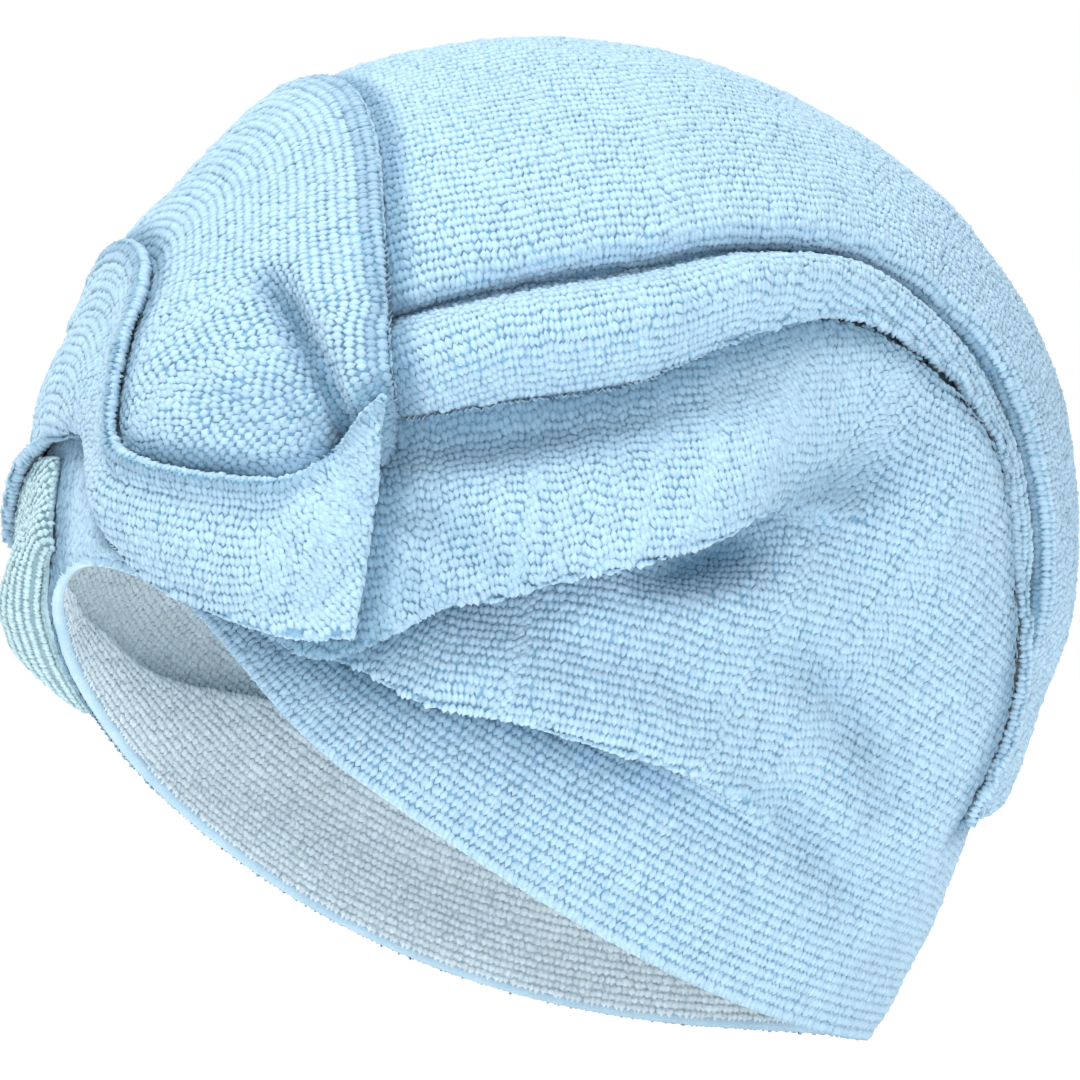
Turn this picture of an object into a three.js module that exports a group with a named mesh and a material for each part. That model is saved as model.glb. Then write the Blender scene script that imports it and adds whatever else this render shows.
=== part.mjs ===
// Hair turban towel, as it sits on a head: a hood of soft looped towelling with lapped pleats, and a tail
// that is twisted over the forehead and laid back over the crown to a button at the nape.
// Millimetres, +Z up. The wearer looks along -Y and the wearer's left is +X. The origin is the middle of
// the head opening, at the height of its lowest point, the nape.
import * as THREE from 'three';

// The head opening, a closed loop that stands high at the forehead and low at the nape.
const OPENING_WIDTH = 154;
const OPENING_LENGTH = 190;
const OPENING_RISE = 98;
const OPENING_SWEEP = 3.8; // how early the loop falls behind the forehead
const WING_RISE = 11; // how much higher the lapped corner over the left brow stands
const WING_TURN = 14; // degrees round from the forehead to that corner
const WING_SPREAD = 45; // degrees from the corner to where the hem is level with the loop again

// The form that the cloth lies round: the head with the hair wound on it.
const FORM_WIDTH = 172;
const FORM_LENGTH = 216;
const FORM_ABOVE = 96; // from the widest level up to the crown
const FORM_BELOW = 158; // from the widest level down to where the form would close
const FORM_LEVEL = 112; // height of the widest level
const FORM_SETBACK = 18; // how far the form's middle lies behind the opening's middle

// The cloth.
const WALL = 2.6;
const CLEARANCE = 0.6; // between two layers that lie on each other
const HOOD_LOFT = 9; // how far the hood stands off the form over the crown
const PLEAT_HEIGHT = 10; // the tallest lapped pleat
const PLEAT_WIDTH = 34; // across the widest pleat, from its lip to where it lies flat
const PLEAT_LEAN = 0.45; // how far a pleat's lip hangs over, as a share of its height
const LEAN_REACH = 8; // how far behind its lip a pleat leans with it
const STEP_WIDTH = 3.2; // across the steep side of a pleat
const TAIL_LOFT = 20; // each loose piece's tallest fold, measured from the form
const LOBE_LOFT = 24;
const WRAP_LOFT = 19;
const TEMPLE_LOFT = 15;
const HEM_HEIGHT = 2.4;
const BUTTON_DIAMETER = 17;
const BUTTON_THICKNESS = 3.2;
const BUTTON_BACK = 147; // the angles of its place on the form
const BUTTON_SIDE = 6;

// How finely the surfaces are cut into faces.
const HOOD_TURNS = 30;
const TAIL_STEPS = 24;
const LOBE_STEPS = 20;
const WRAP_STEPS = 26;
const TEMPLE_STEPS = 12;
const BUTTON_SIDES = 16;

const radians = THREE.MathUtils.degToRad;
const degrees = THREE.MathUtils.radToDeg;
const mix = THREE.MathUtils.lerp;
const smooth = (value, low, high) => THREE.MathUtils.smoothstep(value, low, high);

// Turns rows of plain numbers into rows with named columns.
function table(columns, rows) {
  return rows.map((row) => Object.fromEntries(columns.map((name, at) => [name, row[at]])));
}

// A value read from a table by an even curve through its rows, where key is the column that grows.
function along(rows, key, column, at) {
  const last = rows.length - 1;
  if (at <= rows[0][key]) return rows[0][column];
  if (at >= rows[last][key]) return rows[last][column];
  const here = rows.findIndex((row, index) => at < rows[index + 1][key]);
  const slope = (index) => {
    const before = rows[Math.max(index - 1, 0)];
    const after = rows[Math.min(index + 1, last)];
    return (after[column] - before[column]) / (after[key] - before[key]);
  };
  const [start, end] = [rows[here], rows[here + 1]];
  const span = end[key] - start[key];
  const share = (at - start[key]) / span;
  const [square, cube] = [share ** 2, share ** 3];
  return start[column] * (2 * cube - 3 * square + 1) + slope(here) * span * (cube - 2 * square + share)
    + end[column] * (3 * square - 2 * cube) + slope(here + 1) * span * (cube - square);
}

// The opening's edge at a turn in degrees: 0 at the forehead, 180 at the nape, negative on the right.
function hemPoint(turn) {
  const angle = radians(turn);
  const fromWing = THREE.MathUtils.clamp((turn - WING_TURN) / WING_SPREAD, -1, 1);
  const wing = Math.cos(fromWing * Math.PI / 2) ** 2;
  const fall = Math.abs(Math.cos(angle / 2)) ** OPENING_SWEEP;
  return new THREE.Vector3(
    OPENING_WIDTH / 2 * Math.sin(angle),
    -OPENING_LENGTH / 2 * Math.cos(angle),
    OPENING_RISE * fall + WING_RISE * wing,
  );
}

// The form's surface is named by two angles about an axis from the forehead to the nape: back runs from
// 0 at the forehead to 180 at the nape, and side runs from 0 over the crown to the left, or negative to
// the right. Lift is the height off the form's surface.
const FOREHEAD = new THREE.Vector3(0, -OPENING_LENGTH / 2, OPENING_RISE);
const NAPE = new THREE.Vector3(0, OPENING_LENGTH / 2, 0);
const HUB = FOREHEAD.clone().add(NAPE).multiplyScalar(0.5);
const AXIS = FOREHEAD.clone().sub(NAPE).normalize();
const LEFT = new THREE.Vector3(1, 0, 0);
const CROWNWARD = AXIS.clone().cross(LEFT).normalize();
if (CROWNWARD.z < 0) CROWNWARD.negate();
const FORM_CENTRE = new THREE.Vector3(0, FORM_SETBACK, FORM_LEVEL);

function direction(back, side) {
  const [fromAxis, round] = [radians(back), radians(side)];
  return AXIS.clone().multiplyScalar(Math.cos(fromAxis))
    .addScaledVector(CROWNWARD, Math.sin(fromAxis) * Math.cos(round))
    .addScaledVector(LEFT, Math.sin(fromAxis) * Math.sin(round));
}

function anglesOf(point) {
  const away = point.clone().sub(HUB).normalize();
  return {
    back: degrees(Math.acos(away.dot(AXIS))),
    side: degrees(Math.atan2(away.dot(LEFT), away.dot(CROWNWARD))),
  };
}

function formRadii(above) {
  return new THREE.Vector3(FORM_WIDTH / 2, FORM_LENGTH / 2, above ? FORM_ABOVE : FORM_BELOW);
}

// Where a ray from the hub leaves the form, and the outward normal there.
function formAt(ray) {
  for (const above of [true, false]) {
    const radii = formRadii(above);
    const start = HUB.clone().sub(FORM_CENTRE).divide(radii);
    const step = ray.clone().divide(radii);
    const [square, cross, rest] = [step.dot(step), step.dot(start), start.dot(start) - 1];
    const reach = (-cross + Math.sqrt(cross ** 2 - square * rest)) / square;
    const point = HUB.clone().addScaledVector(ray, reach);
    if ((point.z >= FORM_LEVEL) === above) {
      const normal = point.clone().sub(FORM_CENTRE).divide(radii).divide(radii).normalize();
      return { point, normal };
    }
  }
  const normal = ray.clone().setZ(0).normalize();
  const radii = formRadii(true);
  return { point: normal.clone().multiply(radii).add(FORM_CENTRE), normal };
}

function place(ray, lift) {
  const { point, normal } = formAt(ray);
  return point.addScaledVector(normal, lift);
}

// A closed solid from its corners and faces, with the faces turned outwards.
function solid(corners, faces) {
  let volume = 0;
  for (const [a, b, c] of faces) volume += corners[a].dot(corners[b].clone().cross(corners[c]));
  const outward = volume > 0 ? faces : faces.map(([a, b, c]) => [a, c, b]);
  const geometry = new THREE.BufferGeometry();
  const numbers = corners.flatMap((corner) => corner.toArray());
  geometry.setAttribute('position', new THREE.Float32BufferAttribute(numbers, 3));
  geometry.setIndex(outward.flat());
  geometry.computeVertexNormals();
  return geometry;
}

// The inner side of a wall: as far in as the wall is thick, measured square to its slope.
function innerLifts(cells) {
  return cells.map((cell, at) => {
    let lowest = cell.lift - WALL;
    for (const step of [-1, 1]) {
      const next = cells[at + step];
      if (!next) continue;
      const span = next.ground.point.distanceTo(cell.ground.point);
      for (const share of [0.25, 0.5, 0.75, 1]) {
        const away = span * share;
        if (away >= WALL) continue;
        const outside = mix(cell.lift, next.lift, share);
        lowest = Math.min(lowest, outside - Math.sqrt(WALL ** 2 - away ** 2));
      }
    }
    return lowest;
  });
}

// The highest cloth already laid near a spot, fading away from it at a gentle slope.
const NEAR_ENOUGH = 6;
const FAR_ENOUGH = 20;
const FADE_SLOPE = 0.6;
function highestBelow(spot, layers) {
  let highest = -Infinity;
  for (const layer of layers) {
    for (const cell of layer) {
      const away = cell.point.distanceTo(spot);
      if (away > FAR_ENOUGH) continue;
      highest = Math.max(highest, cell.lift - FADE_SLOPE * Math.max(away - NEAR_ENOUGH, 0));
    }
  }
  return highest;
}

// The spot on the form that lies square below a corner of cloth, and how high above it the corner is.
function laid(corner) {
  let foot = formAt(corner.clone().sub(HUB).normalize());
  let lift = 0;
  for (let round = 0; round < 5; round += 1) {
    lift = corner.clone().sub(foot.point).dot(foot.normal);
    foot = formAt(corner.clone().addScaledVector(foot.normal, -lift).sub(HUB).normalize());
  }
  return { point: foot.point, lift };
}

// A whole surface as seen from the form: its corners, and spots between them no further apart than a step.
const LAYER_STEP = 3;
function layerOf(grid) {
  const layer = grid.flat().map(laid);
  for (let row = 0; row < grid.length - 1; row += 1) {
    for (let column = 0; column < grid[row].length - 1; column += 1) {
      const [a, b] = [grid[row][column], grid[row][column + 1]];
      const [c, d] = [grid[row + 1][column], grid[row + 1][column + 1]];
      const down = Math.ceil(Math.max(a.distanceTo(c), b.distanceTo(d)) / LAYER_STEP);
      const across = Math.ceil(Math.max(a.distanceTo(b), c.distanceTo(d)) / LAYER_STEP);
      for (let i = 0; i <= down; i += 1) {
        for (let j = 0; j <= across; j += 1) {
          const [start, end] = [a.clone().lerp(c, i / down), b.clone().lerp(d, i / down)];
          layer.push(laid(start.lerp(end, j / across)));
        }
      }
    }
  }
  return layer;
}

// Hood
// Its height off the form is a ground height plus one lapped pleat for each row of a table.
const HOOD_GROUND = table(
  ['back', 'crown', 'flank'], // shares of HOOD_LOFT
  [
    [10, 0.45, 0.45],
    [25, 0.45, 0.50],
    [50, 0.60, 0.75],
    [75, 0.85, 0.80],
    [100, 1.00, 0.80],
    [130, 0.75, 0.75],
    [155, 0.18, 0.30],
    [180, 0.10, 0.10],
  ],
);

// The pleats. Each drops at its lip, towards the hem where steep is 1 and towards the crown where it is -1,
// and falls slowly over its width on the other side. side is 1 on the left and -1 on the right. The lip
// runs at a share of the way from the crown to the hem, and its height is a share of PLEAT_HEIGHT, both by
// the angle back. width is a share of PLEAT_WIDTH.
const PLEATS = [
  {
    name: 'low',
    side: 1,
    steep: 1,
    width: 0.44,
    run: table(['back', 'lip', 'height'], [
      [0, 0.90, 0.1],
      [30, 0.89, 0.5],
      [42, 0.855, 0.65],
      [63, 0.80, 0.7],
      [84, 0.75, 0.65],
      [105, 0.715, 0.3],
      [125, 0.71, 0],
      [180, 0.75, 0],
    ]),
  },
  {
    name: 'middle',
    side: 1,
    steep: 1,
    width: 0.88,
    run: table(['back', 'lip', 'height'], [
      [0, 0.82, 0.1],
      [30, 0.82, 0.5],
      [45, 0.785, 0.8],
      [59, 0.68, 0.95],
      [74, 0.585, 1],
      [87, 0.50, 0.8],
      [98, 0.47, 0.3],
      [112, 0.50, 0],
      [180, 0.60, 0],
    ]),
  },
  {
    name: 'back_edge',
    side: 1,
    steep: -1,
    width: 1,
    run: table(['back', 'lip', 'height'], [
      [0, 0.40, 0],
      [50, 0.40, 0],
      [76, 0.35, 0.05],
      [90, 0.30, 0.55],
      [108, 0.31, 0.9],
      [119, 0.355, 0.85],
      [132, 0.45, 0.7],
      [140, 0.58, 0.25],
      [150, 0.6, 0],
      [180, 0.50, 0],
    ]),
  },
  {
    name: 'far_middle',
    side: -1,
    steep: 1,
    width: 1,
    run: table(['back', 'lip', 'height'], [
      [0, 0.60, 0.1],
      [45, 0.62, 0.45],
      [75, 0.52, 0.6],
      [105, 0.48, 0.5],
      [135, 0.55, 0.25],
      [180, 0.60, 0],
    ]),
  },
  {
    name: 'far_low',
    side: -1,
    steep: 1,
    width: 0.7,
    run: table(['back', 'lip', 'height'], [
      [0, 0.80, 0.1],
      [45, 0.84, 0.4],
      [75, 0.76, 0.5],
      [105, 0.72, 0.45],
      [135, 0.76, 0.2],
      [180, 0.80, 0],
    ]),
  },
];
const FLANK = 0.6; // the share of the way to the hem where the ground starts to run out to it
const FRONT_END = [4, 20]; // the angles back over which the folds rise from the forehead
const REAR_END = [168, 178]; // and run out again at the nape

// One turn of the hood: the hem's two points, and the angles of any spot between them, where share runs
// from -1 at the right hem over 0 at the crown to 1 at the left hem.
function hoodTurn(turn) {
  const left = anglesOf(laid(hemPoint(turn)).point);
  const right = anglesOf(laid(hemPoint(-turn)).point);
  return (share) => ({
    back: mix(right.back, left.back, (share + 1) / 2),
    side: share > 0 ? share * left.side : -share * right.side,
  });
}

function hoodHeight(turn, share, spot, perDegree) {
  const { back, side } = spot;
  const way = Math.sign(share);
  const near = Math.abs(share);
  const edgeLift = laid(hemPoint(way * turn)).lift;
  const crown = along(HOOD_GROUND, 'back', 'crown', back);
  const flank = along(HOOD_GROUND, 'back', 'flank', back);
  const middle = mix(crown, flank, Math.min(near / FLANK, 1));
  const toEdge = smooth(near, FLANK, 1);
  const ends = smooth(back, ...FRONT_END) * (1 - smooth(back, ...REAR_END));
  const ground = mix(edgeLift, mix(HOOD_LOFT * middle, edgeLift, toEdge), ends);
  let [height, lean] = [0, 0];
  for (const pleat of PLEATS) {
    if (pleat.side !== way) continue;
    const lip = along(pleat.run, 'back', 'lip', back) * Math.abs(side / share);
    const past = (Math.abs(side) - lip) * perDegree * pleat.steep;
    const tall = along(pleat.run, 'back', 'height', back) * PLEAT_HEIGHT * ends;
    const fallen = past > 0 ? smooth(past, 0, STEP_WIDTH) : smooth(-past, 0, pleat.width * PLEAT_WIDTH);
    height += tall * (1 - fallen);
    lean += PLEAT_LEAN * Math.exp(-((past / LEAN_REACH) ** 2)) * pleat.steep * (tall / PLEAT_HEIGHT);
  }
  return { ground, lift: ground + height, lean: lean * way };
}

// The places across one turn: close together on each pleat's steep side, and wider between pleats.
const CROWN_PLACES = 6; // between the last pleat on the right and the first on the left
const CROWN_LINE = 1e-3; // the share that stands for 0, where the left and the right meet
const STEP_SHARE = 0.24; // the most of the way to the next lip that a steep side may take
function hoodShares(turn) {
  const spotAt = hoodTurn(turn);
  const { back } = spotAt(CROWN_LINE);
  const perShare = Math.abs(spotAt(0.5).side) * 2 * degreeLength(spotAt(0.5));
  const lips = PLEATS.map((pleat) => ({
    share: along(pleat.run, 'back', 'lip', back) * pleat.side,
    steep: pleat.steep * pleat.side,
  }));
  const hems = [-1, 1].map((share) => ({ share, steep: 0 }));
  const stops = [...lips, ...hems].sort((a, b) => a.share - b.share);
  const shares = [];
  for (let at = 0; at < stops.length - 1; at += 1) {
    const [from, to] = [stops[at], stops[at + 1]];
    const most = STEP_SHARE * (to.share - from.share);
    const step = Math.min(STEP_WIDTH / perShare, most);
    const slope = Math.min(LEAN_REACH / perShare, most);
    const after = from.steep > 0 ? [step / 2, step] : [slope];
    const before = to.steep < 0 ? [step, step / 2] : [slope];
    const [first, last] = [from.share + after.at(-1), to.share - before[0]];
    const places = from.share < 0 && to.share > 0 ? CROWN_PLACES : 1;
    shares.push(from.share, ...after.map((away) => from.share + away));
    for (let place = 1; place <= places; place += 1) {
      shares.push(mix(first, last, place / (places + 1)));
    }
    shares.push(...before.map((away) => to.share - away));
  }
  shares.push(1);
  return shares.map((share) => (Math.abs(share) < CROWN_LINE ? CROWN_LINE : share));
}

// The length of one degree of side on the form, kept from vanishing at the two ends.
const SHORTEST_DEGREE = 0.5;
function degreeLength({ back, side }) {
  const { point } = formAt(direction(back, side));
  const arm = point.sub(HUB);
  return Math.max(radians(1) * arm.projectOnPlane(AXIS).length(), SHORTEST_DEGREE);
}

function makeHood() {
  const outer = [];
  const inner = [];
  for (let row = 1; row < HOOD_TURNS; row += 1) {
    const turn = 180 * row / HOOD_TURNS;
    const spotAt = hoodTurn(turn);
    const cells = hoodShares(turn).map((share) => {
      const spot = spotAt(share);
      const perDegree = degreeLength(spot);
      const { ground, lift, lean } = hoodHeight(turn, share, spot, perDegree);
      const foot = formAt(direction(spot.back, spot.side));
      return { spot, perDegree, level: ground, lift, lean, ground: foot };
    });
    const under = innerLifts(cells);
    const leaned = (cell, lift) => {
      const shift = cell.lean * (lift - cell.level) / cell.perDegree;
      return place(direction(cell.spot.back, cell.spot.side + shift), lift);
    };
    outer.push(cells.map((cell) => leaned(cell, cell.lift)));
    inner.push(cells.map((cell, at) => leaned(cell, under[at])));
  }
  const [front, rear] = [hemPoint(0), hemPoint(180)];
  const inwards = (point) => {
    const { normal } = formAt(point.clone().sub(HUB).normalize());
    return point.clone().addScaledVector(normal, -WALL);
  };
  const width = outer[0].length;
  const corners = [...outer.flat(), ...inner.flat(), front, rear, inwards(front), inwards(rear)];
  const innerStart = outer.length * width;
  const [frontOut, rearOut, frontIn, rearIn] = [0, 1, 2, 3].map((extra) => 2 * innerStart + extra);
  const faces = [];
  const quad = (a, b, c, d) => faces.push([a, b, c], [a, c, d]);
  const last = outer.length - 1;
  for (let row = 0; row < last; row += 1) {
    for (let column = 0; column < width - 1; column += 1) {
      const at = row * width + column;
      const under = innerStart + at;
      quad(at, at + 1, at + width + 1, at + width);
      quad(under, under + width, under + width + 1, under + 1);
    }
    const [rightEdge, leftEdge] = [row * width, row * width + width - 1];
    quad(rightEdge, rightEdge + width, innerStart + rightEdge + width, innerStart + rightEdge);
    quad(leftEdge, innerStart + leftEdge, innerStart + leftEdge + width, leftEdge + width);
  }
  for (let column = 0; column < width - 1; column += 1) {
    faces.push([frontOut, column + 1, column], [frontIn, innerStart + column, innerStart + column + 1]);
    const at = last * width + column;
    faces.push([rearOut, at, at + 1], [rearIn, innerStart + at + 1, innerStart + at]);
  }
  const ends = [[0, frontOut, frontIn, 1], [last * width, rearOut, rearIn, -1]];
  for (const [start, out, within, way] of ends) {
    const [a, b] = [start, start + width - 1];
    const [first, second] = way > 0 ? [a, b] : [b, a];
    quad(out, first, innerStart + first, within);
    quad(out, within, innerStart + second, second);
  }
  const edge = hemEdge(outer, inner, front, rear, inwards);
  const capped = [outer[0].map(() => front), ...outer, outer[0].map(() => rear)];
  return { geometry: solid(corners, faces), layer: layerOf(capped), edge };
}

// The hood's cut edge, once round: the middle of the wall and the way out of it.
function hemEdge(outer, inner, front, rear, inwards) {
  const pairs = [
    [front, inwards(front)],
    ...outer.map((row, at) => [row.at(-1), inner[at].at(-1)]),
    [rear, inwards(rear)],
    ...outer.map((row, at) => [row[0], inner[at][0]]).reverse(),
  ];
  return pairs.map(([out, within]) => ({
    middle: out.clone().add(within).multiplyScalar(0.5),
    outwards: out.clone().sub(within).normalize(),
  }));
}

// Bound edge
// A flat cord that follows the hood's cut edge all round, just below it.
function makeHemBinding(edge) {
  const section = table(
    ['out', 'down'], // shares of the wall and of HEM_HEIGHT
    [[-0.5, 0.12], [-0.32, 0], [0.32, 0], [0.5, 0.12], [0.42, 0.9], [-0.42, 0.9]],
  );
  const count = edge.length;
  const rings = edge.map(({ middle, outwards }, at) => {
    const [before, after] = [edge[(at + count - 1) % count], edge[(at + 1) % count]];
    const run = after.middle.clone().sub(before.middle);
    const down = run.cross(outwards).normalize();
    return section.map((corner) => middle.clone()
      .addScaledVector(outwards, corner.out * WALL)
      .addScaledVector(down, CLEARANCE + corner.down * HEM_HEIGHT));
  });
  const width = section.length;
  const faces = [];
  for (let ring = 0; ring < count; ring += 1) {
    for (let corner = 0; corner < width; corner += 1) {
      const [a, b] = [ring * width + corner, ring * width + (corner + 1) % width];
      const [c, d] = [((ring + 1) % count) * width, (corner + 1) % width];
      faces.push([a, b, c + d], [a, c + d, c + corner]);
    }
  }
  return solid(rings.flat(), faces);
}

// Loose pieces
// A wall of cloth between two edges, A and B, whose angles and heights stand in a table with a row for
// each section. profile gives the height at a share of the way from A to B, and the cloth lies on the
// layers given, with clearance. It returns the closed wall and its own outer layer.
function clothBand({ rows, steps, shares, loft, profile, layers }) {
  const numbered = rows.map((row, number) => ({ ...row, number }));
  const outer = [];
  const inner = [];
  for (let step = 0; step <= steps; step += 1) {
    const at = (rows.length - 1) * step / steps;
    const read = (column) => along(numbered, 'number', column, at);
    const edgeA = direction(read('backA'), read('sideA'));
    const edgeB = direction(read('backB'), read('sideB'));
    const height = profile(read);
    const cells = shares(read).map((share) => {
      const ray = edgeA.clone().lerp(edgeB, share).normalize();
      const ground = formAt(ray);
      const floor = highestBelow(ground.point, layers) + CLEARANCE;
      return { ray, ground, floor, lift: Math.max(height(share) * loft, floor + WALL) };
    });
    const under = innerLifts(cells).map((lift, cell) => Math.max(lift, cells[cell].floor));
    outer.push(cells.map(({ ray, lift }) => place(ray, lift)));
    inner.push(cells.map(({ ray }, cell) => place(ray, under[cell])));
  }
  const width = outer[0].length;
  const innerStart = outer.length * width;
  const faces = [];
  const quad = (a, b, c, d) => faces.push([a, b, c], [a, c, d]);
  const last = outer.length - 1;
  for (let row = 0; row < last; row += 1) {
    for (let column = 0; column < width - 1; column += 1) {
      const cell = row * width + column;
      const under = innerStart + cell;
      quad(cell, cell + 1, cell + width + 1, cell + width);
      quad(under, under + width, under + width + 1, under + 1);
    }
    const [a, b] = [row * width, row * width + width - 1];
    quad(a, a + width, innerStart + a + width, innerStart + a);
    quad(b, innerStart + b, innerStart + b + width, b + width);
  }
  for (let column = 0; column < width - 1; column += 1) {
    const [a, b] = [column, last * width + column];
    quad(a, innerStart + a, innerStart + a + 1, a + 1);
    quad(b, b + 1, innerStart + b + 1, innerStart + b);
  }
  return { geometry: solid([...outer.flat(), ...inner.flat()], faces), layer: layerOf(outer) };
}

// The height across a section, by an even curve through a few places and heights.
function curveThrough(points) {
  const rows = points.map(([share, height]) => ({ share, height }));
  return (share) => along(rows, 'share', 'height', share);
}

// Temple fold
// The ribbed fold of the towel's other face over the right brow. A is its lower edge, B is under the wrap.
function makeTempleFold(layers) {
  const rows = table(
    ['backA', 'sideA', 'backB', 'sideB', 'edge', 'crest', 'top'],
    [
      [7, -20, 15, -12, 0.62, 0.64, 0.44],
      [8, -62, 19, -44, 0.78, 0.86, 0.46],
      [13, -86, 24, -66, 0.86, 1.00, 0.50],
      [22, -94, 31, -78, 0.80, 0.96, 0.52],
      [31, -97, 37, -85, 0.62, 0.76, 0.54],
      [38, -98, 42, -89, 0.48, 0.56, 0.50],
    ],
  );
  return clothBand({
    rows, steps: TEMPLE_STEPS, loft: TEMPLE_LOFT, layers,
    shares: () => [0, 0.1, 0.25, 0.45, 0.65, 0.85, 1],
    profile: (read) => curveThrough([
      [0, read('edge')],
      [0.25, read('crest')],
      [0.8, read('top')],
      [1, read('top')],
    ]),
  });
}

// Tail
// A is its lower left edge. From there it rises over a side roll, drops into a long crease and laps up
// on to the crown sheet, which runs to the edge B on the right. It narrows down the back to the nape.
function makeTail(layers) {
  const rows = table(
    ['backA', 'sideA', 'backB', 'sideB', 'crease', 'roll', 'valley', 'lap', 'sheet', 'end'],
    [
      [43, 49, 45, -26, 0.165, 0.62, 0.52, 0.58, 0.42, 0.38],
      [49, 49, 50, -28, 0.165, 0.92, 0.64, 0.84, 0.58, 0.44],
      [59, 47, 60, -30, 0.165, 1.00, 0.66, 0.94, 0.76, 0.50],
      [71, 43, 72, -31, 0.160, 1.00, 0.66, 0.96, 0.80, 0.56],
      [81, 36, 82, -31, 0.135, 0.96, 0.64, 0.96, 0.82, 0.58],
      [91, 30, 92, -31, 0.105, 0.82, 0.62, 0.94, 0.84, 0.60],
      [103, 28, 104, -31, 0.090, 0.72, 0.60, 0.93, 0.93, 0.62],
      [113, 29, 115, -32, 0.085, 0.70, 0.60, 0.92, 1.02, 0.64],
      [123, 35, 126, -33, 0.090, 0.66, 0.56, 0.82, 0.96, 0.58],
      [131, 42, 135, -36, 0.100, 0.56, 0.48, 0.60, 0.62, 0.45],
      [138, 53, 143, -38, 0.110, 0.46, 0.40, 0.45, 0.42, 0.32],
    ],
  );
  return clothBand({
    rows, steps: TAIL_STEPS, loft: TAIL_LOFT, layers,
    shares: (read) => {
      const crease = read('crease');
      const roll = [0, 0.12, 0.35, 0.65, 0.88, 1];
      const sheet = [0.025, 0.06, 0.12, 0.21, 0.31, 0.42, 0.54, 0.66, 0.78, 0.9, 1];
      return [...roll.map((share) => share * crease), ...sheet.map((share) => mix(crease, 1, share))];
    },
    profile: (read) => {
      const crease = read('crease');
      return curveThrough([
        [0, read('valley')],
        [crease * 0.3, read('roll') * 0.97],
        [crease * 0.62, read('roll')],
        [crease, read('valley')],
        [mix(crease, 1, 0.045), read('lap') * 0.95],
        [mix(crease, 1, 0.12), read('lap')],
        [mix(crease, 1, 0.5), read('sheet')],
        [mix(crease, 1, 0.93), mix(read('sheet'), read('end'), 0.6)],
        [1, read('end')],
      ]);
    },
  });
}

// Front lobe
// The twist's first turn. A is its front edge, tucked under the wrap, and B is the free edge with its
// seam. It starts on the right of the crown and ends at the knot over the left temple.
function makeFrontLobe(layers) {
  const rows = table(
    ['backA', 'sideA', 'backB', 'sideB', 'fold', 'front', 'belly', 'dip', 'seam'],
    [
      [38, -33, 52, -36, 0.60, 0.38, 0.42, 0.42, 0.44],
      [34, -15, 52, -15, 0.60, 0.40, 0.46, 0.47, 0.48],
      [31, 7, 52, 6, 0.60, 0.42, 0.52, 0.54, 0.58],
      [26, 19, 51, 18, 0.58, 0.48, 0.63, 0.66, 0.72],
      [24, 29, 49.5, 29, 0.56, 0.54, 0.84, 0.82, 0.90],
      [23, 39, 48.5, 39, 0.62, 0.58, 1.00, 0.86, 1.00],
      [25, 47, 48.5, 47, 0.72, 0.58, 0.98, 0.76, 0.94],
      [31, 53, 48, 52, 0.78, 0.54, 0.80, 0.62, 0.78],
      [38, 57, 46, 56, 0.70, 0.46, 0.56, 0.50, 0.56],
    ],
  );
  return clothBand({
    rows, steps: LOBE_STEPS, loft: LOBE_LOFT, layers,
    shares: (read) => {
      const fold = read('fold');
      const front = [0, 0.12, 0.32, 0.52, 0.72, 0.9, 1];
      const behind = [0.12, 0.35, 0.6, 0.82, 1];
      return [...front.map((share) => share * fold), ...behind.map((share) => mix(fold, 1, share))];
    },
    profile: (read) => {
      const fold = read('fold');
      return curveThrough([
        [0, read('front')],
        [fold * 0.55, read('belly')],
        [fold, read('dip')],
        [mix(fold, 1, 0.45), mix(read('dip'), read('seam'), 0.8)],
        [1, read('seam')],
      ]);
    },
  });
}

// Forehead wrap
// The collar round the front of the hood. A is its upper edge with the double ridge, B is its hem.
function makeForeheadWrap(layers) {
  const rows = table(
    ['backA', 'sideA', 'backB', 'sideB', 'ridge', 'middle', 'hem'],
    [
      [46, -78, 36, -86, 0.48, 0.52, 0.44],
      [40, -60, 25, -72, 0.50, 0.54, 0.46],
      [36, -36, 19, -48, 0.50, 0.55, 0.48],
      [34, -10, 17, -14, 0.54, 0.58, 0.52],
      [31, 12, 17, 14, 0.70, 0.70, 0.58],
      [26, 27, 15.5, 32, 0.82, 0.80, 0.62],
      [22, 39, 15, 46, 0.90, 0.86, 0.64],
      [25, 49, 16.5, 60, 0.94, 0.90, 0.66],
      [31, 55, 21, 73, 0.98, 0.98, 0.66],
      [38, 58, 29, 79, 1.00, 1.00, 0.70],
      [44, 56, 38, 78, 1.00, 1.00, 0.78],
      [48, 53, 45, 72, 0.96, 0.98, 0.80],
      [50, 53, 49, 63, 0.84, 0.86, 0.76],
    ],
  );
  return clothBand({
    rows, steps: WRAP_STEPS, loft: WRAP_LOFT, layers,
    shares: () => [0, 0.07, 0.16, 0.32, 0.5, 0.7, 0.88, 1],
    profile: (read) => curveThrough([
      [0, read('ridge') * 0.94],
      [0.08, read('ridge')],
      [0.17, read('ridge') * 0.95],
      [0.5, read('middle')],
      [0.85, mix(read('middle'), read('hem'), 0.5)],
      [1, read('hem')],
    ]),
  });
}

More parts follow.
